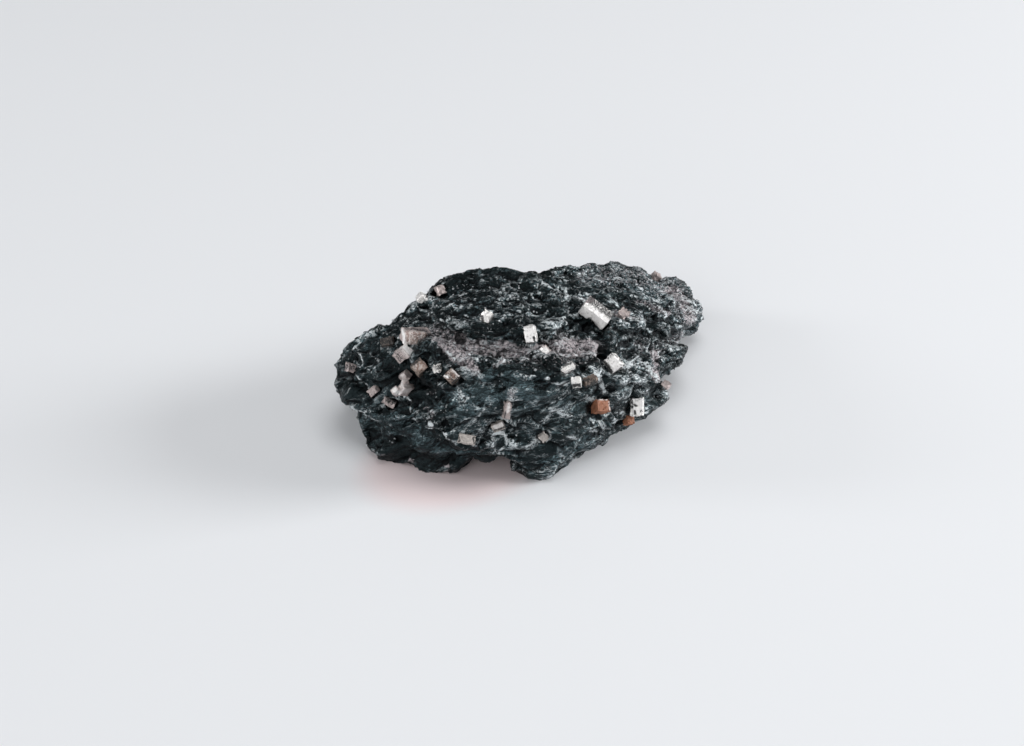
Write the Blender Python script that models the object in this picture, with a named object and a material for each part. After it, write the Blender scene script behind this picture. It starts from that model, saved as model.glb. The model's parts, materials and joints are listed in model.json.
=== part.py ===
"""Black schist stone with pyrite crystals, resting as it was set down.

The host rock is a hand specimen of dark, layered schist. It is built from the blocks that its break planes
leave, fused into one body, then given the relief of its layers. Each pyrite crystal is a solid of its own,
seated in a pocket of the host rock. Lengths are in millimetres until mm() turns them into metres.
+X runs along the stone towards its low, thin end, +Y to its back and +Z up.
"""

import math
from collections import namedtuple

import bmesh
import bpy
from mathutils import Euler, Matrix, Vector, noise

# ---------------------------------------------------------------- driving dimensions, mm
VOXEL = 0.75  # grid on which the blocks are fused
HOST_TRIANGLES = 6000
SEAT_GAP = 0.3  # clearance between a crystal and its pocket
CRYSTAL_BEVEL = 0.15  # flat taken off a crystal's edges

# Layers of the schist. They lie flat in the middle and droop towards both ends.
LAYER = 2.3  # thickness of one layer
LAYER_SLOPE = (0.06, 0.05)  # rise of the layers along X and Y
LOBE_DROOP = (8.0, 0.46)  # where the layers start to droop towards +X, and how steeply
NOSE_DROOP = (26.0, 0.6)  # the same towards -X
DROOP_BEND = 6.0  # length over which the droop sets in
LAYER_STEP = 1.3  # how far one layer's edge can stand out from the next
LAYER_WARP = 2.0  # waviness of the layers
WARP_SIZE = (26.0, 13.0, 30.0)  # size of a wave along, across and through the layers
EDGE_SIZE = (16.0, 16.0)  # length over which a layer's edge wanders in and out
GRAIN_TURN = -22.0  # direction of the wrinkles on a layer, degrees from +X
WRINKLE = (10.0, 3.2, 2.4)  # size of a wrinkle along, across and through the layers
WRINKLE_DEPTH = 0.8
LUMP = (13.0, 9.0, 7.0)  # size of a lump along, across and through the layers
LUMP_DEPTH = 1.1
FACET = (8.0, 5.5, 5.0)  # size of a chipped facet along, across and through the layers
FACET_SLOPE = 0.15

# Blocks between break planes: the corners of each, as (x, y, z)
BLOCKS = {
    "upper_slab": [
        (-27.5, -8, 29), (-22, -18, 29), (-12, -23.5, 28.5), (-1, -26, 27), (7.5, -23.5, 24.5),
        (-23, 11, 30), (-17, 15.5, 31), (-7, 13, 31), (-0.5, 10.5, 30), (10.5, 12.5, 27), (-32, 4, 26.5),
        (-29.5, 11.5, 26), (-33, -15.5, 15.5), (-29, -21.5, 14.5), (-23.5, -23, 12), (-4.5, -23.5, 8),
        (5.5, -23, 9), (-16.5, 24, 7), (2.5, 23.5, 5), (17.5, 23, 6), (21.5, 6.5, 8),
    ],
    "top_layer": [
        (-23.5, 12.5, 30.5), (-17, 14.5, 32), (-7.5, 11.5, 33), (-1, 9, 32), (6.5, 11, 29.5), (7, -2.5, 30),
        (4, -11, 30.5), (-2.5, -15.5, 31.5), (-11, -15.5, 32), (-19, -11.5, 32), (-24.5, -4, 31.5),
        (-22, 11, 24), (-3.5, 8, 24), (5.5, 8.5, 24), (-17.5, -10.5, 26),
    ],
    "nose": [
        (-39, 13.5, 22), (-30, 11, 27), (-45, 14.5, 18), (-47.5, 11, 13), (-47, 7.5, 9), (-45.5, 4.5, 8.5),
        (-41.5, -4.5, 10.5), (-32.5, -15, 15), (-32, 3.5, 26.5), (-27.5, -7, 28.5), (-38, 19.5, 6),
        (-25, 24, 2.5), (-16.5, 22.5, 3.5), (-19, -3.5, 3),
    ],
    "right_lobe": [
        (8, 14.5, 28), (15, 12, 25.5), (25, 19, 21.5), (35.5, 20.5, 17), (42.5, 16.5, 13), (45.5, 12.5, 11),
        (47.5, 7, 8.5), (42.5, 2.5, 8), (10.5, -12.5, 27.5), (20, -12.5, 20), (6, -18, 26.5), (43, 17, 3),
        (46, 7.5, 2), (36, 25.5, 3), (19, 26.5, 4), (-4.5, -5, 10), (11, -9, 6),
    ],
    "right_ledge": [
        (20, -12.5, 20), (37, -6.5, 11), (36, -8.5, 9), (29.5, -12.5, 9), (21, -17, 14), (8, -16.5, 25),
        (11, -9, 6), (34.5, 1, 4),
    ],
    "right_front": [
        (-2, -25.5, 27), (7.5, -23.5, 24), (15.5, -22.5, 19), (24.5, -21, 12.5), (24.5, -20.5, 9.5),
        (17, -20.5, 5), (6, -23, 3), (19, -14.5, 20), (-3, -24, 26), (-2, -10, 4), (27, -7, 4),
    ],
    "left_foot": [
        (-45, 0, 7), (-45.5, -2, 3), (-43.5, -5.5, 0), (-38.5, -9.5, -0.5), (-32.5, -14, -0.5),
        (-28, -16, -0.5), (-24, -17.5, 2), (-45.5, 3, 9), (-25.5, -21.5, 12), (-33, -16, 15),
        (-37.5, -8.5, 12.5), (-29, -20, 14.5), (-38, 13, 8), (-35, 10, -0.5), (-18, -12, -0.5),
        (-15, 1.5, -0.5),
    ],
    "web": [
        (-25.5, -17.5, 3), (-21, -18.5, 4), (-17, -20.5, 4), (-23.5, -22.5, 12), (-15.5, -26, 12),
        (-17, -4, 3), (-4, -9.5, 3), (-17, -4, 14), (-4, -9.5, 14),
    ],
    "front_foot": [
        (-17.5, -21, 5), (-15.5, -22.5, -0.5), (-13, -26, -1), (-8.5, -26.5, -1), (-4, -26, 0.5),
        (5.5, -24, 3.5), (-17.5, -23.5, 12), (-12.5, -24.5, 16), (1.5, -25.5, 14), (-9.5, -11.5, -0.5),
        (4.5, -15, -0.5), (16.5, -11, 2),
    ],
    "back_foot": [
        (6, 21, -0.5), (29.5, 20.5, -0.5), (35.5, 9, -0.5), (15.5, 2, -0.5), (-22, 15.5, -0.5),
        (-13.5, 20.5, 0.5), (1, 20, 9), (31, 13.5, 8),
    ],
}

# Strokes that hollow (negative) or raise (positive) the surface: path, radius, depth
STROKES = {
    "cube_valley": ([(8.5, 4.5, 25.5), (9, -1.5, 24.5), (10, -7.5, 23), (8.5, -15, 23.5), (6.5, -19.5, 22.5)], 4, -3),
    "crest_hollow": ([(8.5, -2.5, 24.5), (10, -5.5, 23.5), (10, -12, 25.5)], 3.2, -2.4),
    "crest_foot": ([(9.5, -8.5, 27), (11.5, -10, 27), (13, -9.5, 27)], 2.8, -2.4),
    "lobe_valley": ([(3, 11.5, 28.5), (5, 6.5, 29), (8.5, 4.5, 25.5)], 4, -1.4),
    "ledge_trough": ([(-23.5, -9, 29), (-15, -13, 27.5), (-1.5, -15.5, 26), (6.5, -15.5, 24.5)], 4, -1.4),
    "slab_hollows": ([(-26.5, -3, 28), (-23, -4.5, 29.5), (-21, -7, 29)], 3, -1.6),
    "slab_brink": ([(-20.5, -9, 32.5), (-14, -10.5, 32.5), (-5, -13, 32.5), (0.5, -10.5, 31.5)], 3, 0.7),
    "pale_ridge": ([(-28.5, -1.5, 28.5), (-26.5, -5.5, 29), (-24, -9.5, 29.5), (-22, -16, 28.5)], 2.4, 0.9),
    "crest_line": ([(-20, -19, 28), (-15, -21.5, 28.5), (-8.5, -24, 28)], 2, 0.6),
    "overhang": ([(-45.5, 3, 10.5), (-42.5, -3, 11), (-38, -10, 13.5), (-33, -16.5, 15.5), (-28.5, -20.5, 14), (-23, -20.5, 10), (-19.5, -24, 9.5)], 2.4, 1),
    "under_overhang": ([(-43.5, 0, 5.5), (-40, -5, 7), (-33, -15, 11.5), (-28, -17.5, 8), (-20.5, -14, 1)], 4.5, -1.4),
    "notch": ([(14.5, 12, 25.5), (18, 13.5, 23.5), (18, 10, 23.5)], 2.5, -1),
    "nose_hollow": ([(-33.5, -1.5, 22), (-32, -5.5, 21), (-30, -9, 21)], 4, -1.5),
    "face_groove": ([(-17.5, -19.5, 25.5), (-19, -22.5, 22.5), (-20, -21.5, 16)], 3.5, -0.8),
    "face_swell": ([(-10.5, -25, 25), (-7, -25.5, 19.5), (-5.5, -26, 13.5)], 7, 1),
}

# Finish: base colour, metallic, roughness
FINISHES = {
    "schist": ((0.020, 0.024, 0.025), 0.0, 0.5),
    "silver": ((0.72, 0.70, 0.67), 1.0, 0.3),
    "mauve": ((0.42, 0.34, 0.33), 0.8, 0.4),
    "brown": ((0.30, 0.20, 0.15), 0.6, 0.5),
    "tan": ((0.48, 0.43, 0.39), 0.5, 0.5),
    "rust": ((0.40, 0.16, 0.07), 0.1, 0.7),
}

# Crystals: centre, size along their own axes, turn about X, Y and Z in degrees, and finish
Crystal = namedtuple("Crystal", "centre size turn finish")
CRYSTALS = {
    "crystal_crest": Crystal((12, -5, 26.5), (6.9, 2.8, 4.2), (-90, -30, 135), "silver"),
    "crystal_slab": Crystal((-8, -14, 33), (2.4, 3.8, 2.2), (-70, 15, 150), "silver"),
    "crystal_valley": Crystal((9.5, -20.5, 24), (3.6, 3.3, 3.4), (-45, -25, 110), "silver"),
    "crystal_nose_top": Crystal((-29.5, 2, 27), (3.2, 2.8, 6.4), (-75, 5, 90), "mauve"),
    "crystal_nose_grey": Crystal((-33.5, -0.5, 25), (3.8, 2.7, 2.4), (-85, 45, 140), "mauve"),
    "crystal_nose_brown": Crystal((-31.5, -6, 24.5), (3, 2.9, 2.8), (155, -25, 115), "brown"),
    "crystal_nose_pink": Crystal((-34, -3, 20.5), (2.1, 2, 2), (-85, 45, 140), "mauve"),
    "crystal_nose_slab": Crystal((-34.5, -5.5, 18.5), (4.2, 2.5, 2), (-80, 30, 10), "mauve"),
    "crystal_shoulder": Crystal((-26.5, -13.5, 26), (2.8, 2.7, 2.6), (145, -25, 120), "brown"),
    "crystal_nose_grain": Crystal((-28.5, -9.5, 26), (1.9, 1.5, 1.5), (90, -20, -35), "silver"),
    "crystal_nose_chip_low": Crystal((-40.5, 1, 15), (2.6, 1.8, 1.4), (70, -50, -35), "mauve"),
    "crystal_nose_chip_right": Crystal((-38, -2.5, 13.5), (3, 1.7, 1.3), (60, 25, -35), "mauve"),
    "crystal_nose_tip": Crystal((-43.5, 8.5, 17), (2.4, 2, 1.8), (60, -20, -80), "mauve"),
    "crystal_nose_chip_high": Crystal((-35, 6, 24), (2.9, 2, 1.8), (45, -15, -20), "brown"),
    "crystal_rim_bright": Crystal((-24.5, 11.5, 29.5), (2.2, 2, 2), (50, -10, -100), "silver"),
    "crystal_rim_mauve": Crystal((-20, 11.5, 30.5), (2, 2.2, 1.8), (55, -5, 10), "mauve"),
    "crystal_slab_grain": Crystal((-14.5, -4, 32.5), (2.2, 2.3, 2), (10, -5, 40), "silver"),
    "crystal_ledge_flat": Crystal((-5, -14.5, 27.5), (3.2, 2, 1.4), (30, 15, 40), "mauve"),
    "crystal_lobe_pale": Crystal((19, -5, 24), (2.6, 2.2, 1.8), (15, -5, 25), "mauve"),
    "crystal_lobe_rim": Crystal((38.5, 17, 14), (2.2, 1.8, 1.8), (40, -5, 80), "mauve"),
    "crystal_rust_large": Crystal((5, -24, 15.5), (3.3, 3.1, 2.9), (-50, 20, 0), "rust"),
    "crystal_rust_small": Crystal((13, -22.5, 7.5), (2, 2, 2.1), (-50, 25, 5), "rust"),
    "crystal_white": Crystal((15, -22.5, 11), (2.9, 4.2, 2.4), (-60, 10, 145), "silver"),
    "crystal_brink_white": Crystal((-2, -26, 26.5), (2.1, 2, 1.8), (100, -10, -25), "silver"),
    "crystal_brink_brown": Crystal((2, -24.5, 24.5), (3.2, 1.7, 1.8), (85, -5, 5), "brown"),
    "crystal_brink_grey": Crystal((-2.5, -22.5, 28), (2.8, 1.7, 1.5), (10, -5, 10), "silver"),
    "crystal_edge_pink": Crystal((23.5, -20, 13), (1.9, 2, 1.7), (55, -15, 120), "mauve"),
    "crystal_foot_flat": Crystal((-26.5, -22, 14.5), (3.9, 2, 1.5), (35, 15, -20), "tan"),
    "crystal_face_flat": Crystal((-19, -22, 16), (2.8, 1.9, 1.5), (75, -25, -15), "tan"),
    "crystal_face_streak": Crystal((-17.5, -23.5, 21.5), (1.5, 4.4, 1.4), (85, 10, 0), "mauve"),
    "crystal_face_pale": Crystal((-9.5, -25.5, 12.5), (1.8, 1.9, 1.5), (65, -35, 0), "tan"),
    "crystal_back_large": Crystal((-6, 19.5, 18.5), (4.6, 4, 3.4), (65, -15, -145), "silver"),
    "crystal_back_twin": Crystal((-11, 21.5, 14), (3, 2.6, 2.6), (50, 40, -170), "mauve"),
    "crystal_back_rust": Crystal((17, 23.5, 11.5), (3.2, 2.8, 2.6), (55, -35, -150), "rust"),
    "crystal_back_lobe": Crystal((30, 22, 12), (2.6, 2.2, 2), (95, -10, 155), "silver"),
    "crystal_back_low": Crystal((4.5, 22.5, 8), (2.4, 3.4, 1.8), (105, 10, -170), "tan"),
    "crystal_back_nose": Crystal((-37, 17.5, 13.5), (3.4, 2.8, 2.6), (45, -25, -130), "mauve"),
    "crystal_back_top": Crystal((-17.5, 19, 22.5), (2.2, 2, 2), (75, -30, -95), "silver"),
}

# Smaller blocks grown into a crystal: centre, size and turn about Z in the crystal's own axes
GROWN = {
    "crystal_nose_slab": [((-2.6, 0.9, 0.1), (2.0, 1.8, 1.5), 25), ((-1.6, -1.6, 0.2), (1.5, 1.9, 1.3), -15)],
}


def mm(*values):
    """Millimetres as a vector in metres."""
    return Vector(values) * 0.001


def smooth_step(t):
    t = min(max(t, 0.0), 1.0)
    return t * t * (3.0 - 2.0 * t)


def scaled(place, sizes):
    return Vector([value / size for value, size in zip(place, sizes)])


def new_object(name, mesh):
    made = bpy.data.objects.new(name, mesh)
    bpy.context.scene.collection.objects.link(made)
    return made


def settle(obj):
    """Replaces the object's mesh with its evaluated one and clears its modifiers."""
    graph = bpy.context.evaluated_depsgraph_get()
    mesh = bpy.data.meshes.new_from_object(obj.evaluated_get(graph))
    obj.modifiers.clear()
    obj.data = mesh


def make_finish(name):
    colour, metallic, roughness = FINISHES[name]
    material = bpy.data.materials.new(name)
    material.use_nodes = True
    shader = material.node_tree.nodes["Principled BSDF"]
    shader.inputs["Base Color"].default_value = (*colour, 1.0)
    shader.inputs["Metallic"].default_value = metallic
    shader.inputs["Roughness"].default_value = roughness
    return material


# ---------------------------------------------------------------- host rock
def add_hull(work, corners):
    """Adds the convex block with these corners to a bmesh."""
    points = [work.verts.new(mm(*corner)) for corner in corners]
    hull = bmesh.ops.convex_hull(work, input=points)
    inner = {item for item in hull["geom_interior"] if isinstance(item, bmesh.types.BMVert)}
    bmesh.ops.delete(work, geom=list(inner), context="VERTS")


def remesh(rock):
    """Makes one closed body of whatever overlaps, on an even grid of vertices."""
    fuse = rock.modifiers.new("Fuse", "REMESH")
    fuse.mode = "VOXEL"
    fuse.voxel_size = VOXEL * 0.001
    settle(rock)


def fuse_blocks():
    work = bmesh.new()
    for corners in BLOCKS.values():
        add_hull(work, corners)
    mesh = bpy.data.meshes.new("host_rock")
    work.to_mesh(mesh)
    work.free()
    rock = new_object("host_rock", mesh)
    remesh(rock)
    return rock


def distance_to_path(point, path):
    """Shortest distance from a point to a chain of points."""
    best = (point - path[0]).length
    for start, end in zip(path, path[1:]):
        along = end - start
        share = min(max((point - start).dot(along) / along.length_squared, 0.0), 1.0)
        best = min(best, (point - start - along * share).length)
    return best


def carve(rock):
    """Moves the surface in or out along each stroke."""
    mesh = rock.data
    normals = [vertex.normal.copy() for vertex in mesh.vertices]
    for path, radius, depth in STROKES.values():
        chain = [mm(*point) for point in path]
        for vertex, normal in zip(mesh.vertices, normals):
            reach = distance_to_path(vertex.co, chain) / (radius * 0.001)
            if reach < 1.0:
                vertex.co += normal * depth * 0.001 * (1.0 - smooth_step(reach))
    mesh.update()


def bend(past, slope):
    """A drop that starts softly: its height and its slope, a distance past its start."""
    reach = math.hypot(past, DROOP_BEND)
    return slope * (past + reach) / 2, slope * (1.0 + past / reach) / 2


def layer_place(point):
    """A point along, across and up through the layers, and the direction that crosses the layers there."""
    lobe_height, lobe_slope = bend(point.x - LOBE_DROOP[0], LOBE_DROOP[1])
    nose_height, nose_slope = bend(-point.x - NOSE_DROOP[0], NOSE_DROOP[1])
    height = point.z + lobe_height + nose_height - LAYER_SLOPE[0] * point.x - LAYER_SLOPE[1] * point.y
    turned = Matrix.Rotation(-math.radians(GRAIN_TURN), 3, "Z") @ point
    crossing = Vector((lobe_slope - nose_slope - LAYER_SLOPE[0], -LAYER_SLOPE[1], 1.0)).normalized()
    return Vector((turned.x, turned.y, height)), crossing


def layer_offset(level, place):
    """How far a given layer's edge stands out at a place, from -1 to 1."""
    return noise.noise(Vector((place.x / EDGE_SIZE[0], place.y / EDGE_SIZE[1], level * 3.7)))


def facet(place):
    """Height of the chipped facets: each has a slope of its own."""
    spot = scaled(place, FACET)
    centre = noise.voronoi(spot)[1][0]
    slope = noise.cell_vector(centre * 13.1) - Vector((0.5, 0.5, 0.5))
    return (spot - centre).dot(slope) * 2.0 * FACET_SLOPE * FACET[0]


def relief(place, through):
    """Moves outwards and across the layers, at a place in the layers' axes.

    through is how squarely the surface faces across the layers, from 0 on their edges to 1 on their flats."""
    warp = noise.noise(scaled(place, WARP_SIZE)) * LAYER_WARP
    level, share = divmod((place.z + warp) / LAYER, 1.0)
    blend = smooth_step((share - 0.7) / 0.3)
    below = layer_offset(level, place)
    edge = below + (layer_offset(level + 1.0, place) - below) * blend
    wrinkle = noise.turbulence(scaled(place, WRINKLE), 2, False) - 0.5
    lump = noise.noise(scaled(place, LUMP))
    outward = edge * LAYER_STEP * (1.0 - through) + wrinkle * WRINKLE_DEPTH + lump * LUMP_DEPTH + facet(place)
    terrace = (smooth_step((share - 0.35) / 0.3) - share) * LAYER * through
    return outward, terrace


def lay_layers(rock):
    """Gives the body the steps, wrinkles and facets of layered schist."""
    mesh = rock.data
    moves = []
    for vertex in mesh.vertices:
        place, crossing = layer_place(vertex.co * 1000.0)
        through = vertex.normal.dot(crossing) ** 2
        outward, terrace = relief(place, through)
        moves.append((vertex.normal * outward + crossing * terrace) * 0.001)
    for vertex, move in zip(mesh.vertices, moves):
        vertex.co += move
    mesh.update()


def thin_out(rock):
    """Leaves the triangles that the form needs."""
    triangles = sum(len(face.vertices) - 2 for face in rock.data.polygons)
    thin = rock.modifiers.new("Thin", "DECIMATE")
    thin.ratio = HOST_TRIANGLES / triangles
    settle(rock)


def trim_feet(rock):
    """Cuts the feet level, so that the stone stands on flat faces."""
    work = bmesh.new()
    work.from_mesh(rock.data)
    everything = work.verts[:] + work.edges[:] + work.faces[:]
    cut = bmesh.ops.bisect_plane(work, geom=everything, plane_co=(0, 0, 0), plane_no=(0, 0, -1), clear_outer=True)
    rim = [item for item in cut["geom_cut"] if isinstance(item, bmesh.types.BMEdge)]
    bmesh.ops.triangle_fill(work, edges=rim, use_beauty=True)
    bmesh.ops.recalc_face_normals(work, faces=work.faces[:])
    work.to_mesh(rock.data)
    work.free()


def make_host_rock():
    rock = fuse_blocks()
    carve(rock)
    lay_layers(rock)
    remesh(rock)
    thin_out(rock)
    trim_feet(rock)
    rock.data.materials.append(make_finish("schist"))
    return rock


# ---------------------------------------------------------------- crystals
def box_mesh(name, centre, size, turn, bevel):
    """A block with its edges taken off, placed in its mesh."""
    work = bmesh.new()
    bmesh.ops.create_cube(work, size=1.0, matrix=Matrix.Diagonal((*mm(*size), 1.0)))
    if bevel:
        bmesh.ops.bevel(
            work, geom=work.edges[:], offset=bevel * 0.001, affect="EDGES", segments=1, profile=0.5, material=-1
        )
    angles = Euler([math.radians(angle) for angle in turn])
    bmesh.ops.transform(work, verts=work.verts[:], matrix=Matrix.Translation(mm(*centre)) @ angles.to_matrix().to_4x4())
    bmesh.ops.triangulate(work, faces=work.faces[:])
    mesh = bpy.data.meshes.new(name)
    work.to_mesh(mesh)
    work.free()
    return mesh


def add_boolean(obj, operation, other):
    join = obj.modifiers.new(operation.title(), "BOOLEAN")
    join.operation = operation
    join.solver = "EXACT"
    join.object = other
    settle(obj)
    bpy.data.objects.remove(other)


def make_crystal(name, crystal, grow, bevel):
    """The crystal, with what has grown into it, each side moved out by grow."""
    blocks = [((0, 0, 0), crystal.size, 0)] + GROWN.get(name, [])
    parts = []
    for centre, size, spin in blocks:
        wider = [side + 2.0 * grow for side in size]
        parts.append(new_object(name, box_mesh(name, centre, wider, (0, 0, spin), bevel)))
    body = parts[0]
    for part in parts[1:]:
        add_boolean(body, "UNION", part)
    angles = Euler([math.radians(angle) for angle in crystal.turn])
    body.data.transform(Matrix.Translation(mm(*crystal.centre)) @ angles.to_matrix().to_4x4())
    return body


def keep_largest(rock):
    """Drops the chips that a pocket has cut loose."""
    work = bmesh.new()
    work.from_mesh(rock.data)
    left = set(work.verts)
    bodies = []
    while left:
        front = [left.pop()]
        body = set(front)
        while front:
            vertex = front.pop()
            for edge in vertex.link_edges:
                other = edge.other_vert(vertex)
                if other in left:
                    left.remove(other)
                    body.add(other)
                    front.append(other)
        bodies.append(body)
    largest = max(bodies, key=len)
    loose = [vertex for vertex in work.verts if vertex not in largest]
    bmesh.ops.delete(work, geom=loose, context="VERTS")
    work.to_mesh(rock.data)
    work.free()


def seat_crystals(rock):
    """Makes the crystals and cuts a pocket for each in the rock."""
    finishes = {name: make_finish(name) for name in FINISHES if name != "schist"}
    for name, crystal in CRYSTALS.items():
        add_boolean(rock, "DIFFERENCE", make_crystal(name + ".pocket", crystal, SEAT_GAP, 0.0))
        body = make_crystal(name, crystal, 0.0, CRYSTAL_BEVEL)
        body.data.materials.append(finishes[crystal.finish])
    keep_largest(rock)


def stand_on_origin():
    """Moves the stone so that the bottom centre of its box is the origin."""
    parts = [obj for obj in bpy.context.scene.objects if obj.type == "MESH"]
    places = [vertex.co for part in parts for vertex in part.data.vertices]
    middle = [(min(p[axis] for p in places) + max(p[axis] for p in places)) / 2 for axis in range(2)]
    for part in parts:
        part.data.transform(Matrix.Translation((-middle[0], -middle[1], 0.0)))


def main():
    for obj in list(bpy.data.objects):
        bpy.data.objects.remove(obj)
    rock = make_host_rock()
    seat_crystals(rock)
    stand_on_origin()


main()
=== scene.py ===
"""Black schist stone with pyrite crystals: its finished looks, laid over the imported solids.

The host rock is remade from its solid with the fine relief of schist. Each pyrite crystal is remade on
the block of its solid, with striped, pitted and chipped faces. Scales, mica flakes and pyrite grains are
sown over the rock. Lengths are in metres, +X runs towards the stone's thin end, +Y to its back and +Z up.
"""

import json
import math
from collections import namedtuple

import bmesh
import bpy
import numpy as np
from bpy.props import FloatProperty, FloatVectorProperty, IntProperty, PointerProperty
from mathutils import Matrix, Vector, noise
from mathutils.bvhtree import BVHTree


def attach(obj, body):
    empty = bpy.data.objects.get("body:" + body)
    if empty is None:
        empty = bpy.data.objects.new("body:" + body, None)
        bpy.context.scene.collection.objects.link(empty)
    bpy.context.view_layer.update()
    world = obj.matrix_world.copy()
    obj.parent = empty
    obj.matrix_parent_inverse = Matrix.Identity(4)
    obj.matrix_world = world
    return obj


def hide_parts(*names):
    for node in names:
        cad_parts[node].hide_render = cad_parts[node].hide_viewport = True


bl_info = {
    "name": "Schist Stone with Pyrite",
    "version": (1, 0, 0),
    "blender": (4, 5, 0),
    "location": "3D View > Sidebar > Stone",
    "description": "Dresses the solids of a black schist stone with its relief, crystals, flakes and light",
    "category": "Object",
}

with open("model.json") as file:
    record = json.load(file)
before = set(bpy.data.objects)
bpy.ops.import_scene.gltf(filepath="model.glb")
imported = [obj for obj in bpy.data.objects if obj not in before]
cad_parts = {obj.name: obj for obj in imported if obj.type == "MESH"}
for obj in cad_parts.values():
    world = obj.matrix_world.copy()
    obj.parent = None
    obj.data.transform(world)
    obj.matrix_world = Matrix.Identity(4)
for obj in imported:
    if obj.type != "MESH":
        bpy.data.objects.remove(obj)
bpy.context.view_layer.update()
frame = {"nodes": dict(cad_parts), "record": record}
HOST = "host_rock"
CRYSTALS = sorted(node for node in frame["nodes"] if node.startswith("crystal_"))
SLOT = {part["node"]: part["material_slot"] for part in frame["record"]["subparts"]}

# Layers of the schist, as the solid has them: they lie flat in the middle and droop towards both ends.
LAYER_SLOPE = (0.06, 0.05)  # rise of the layers along X and Y
LOBE_DROOP = (0.008, 0.46)  # where the layers start to droop towards +X, and how steeply
NOSE_DROOP = (0.026, 0.6)  # the same towards -X
DROOP_BEND = 0.006  # length over which the droop sets in
GRAIN_TURN = math.radians(-22.0)  # direction of the wrinkles on a layer, from +X

PICTURE = (1024, 746)  # points across and down the main view's picture

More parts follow.
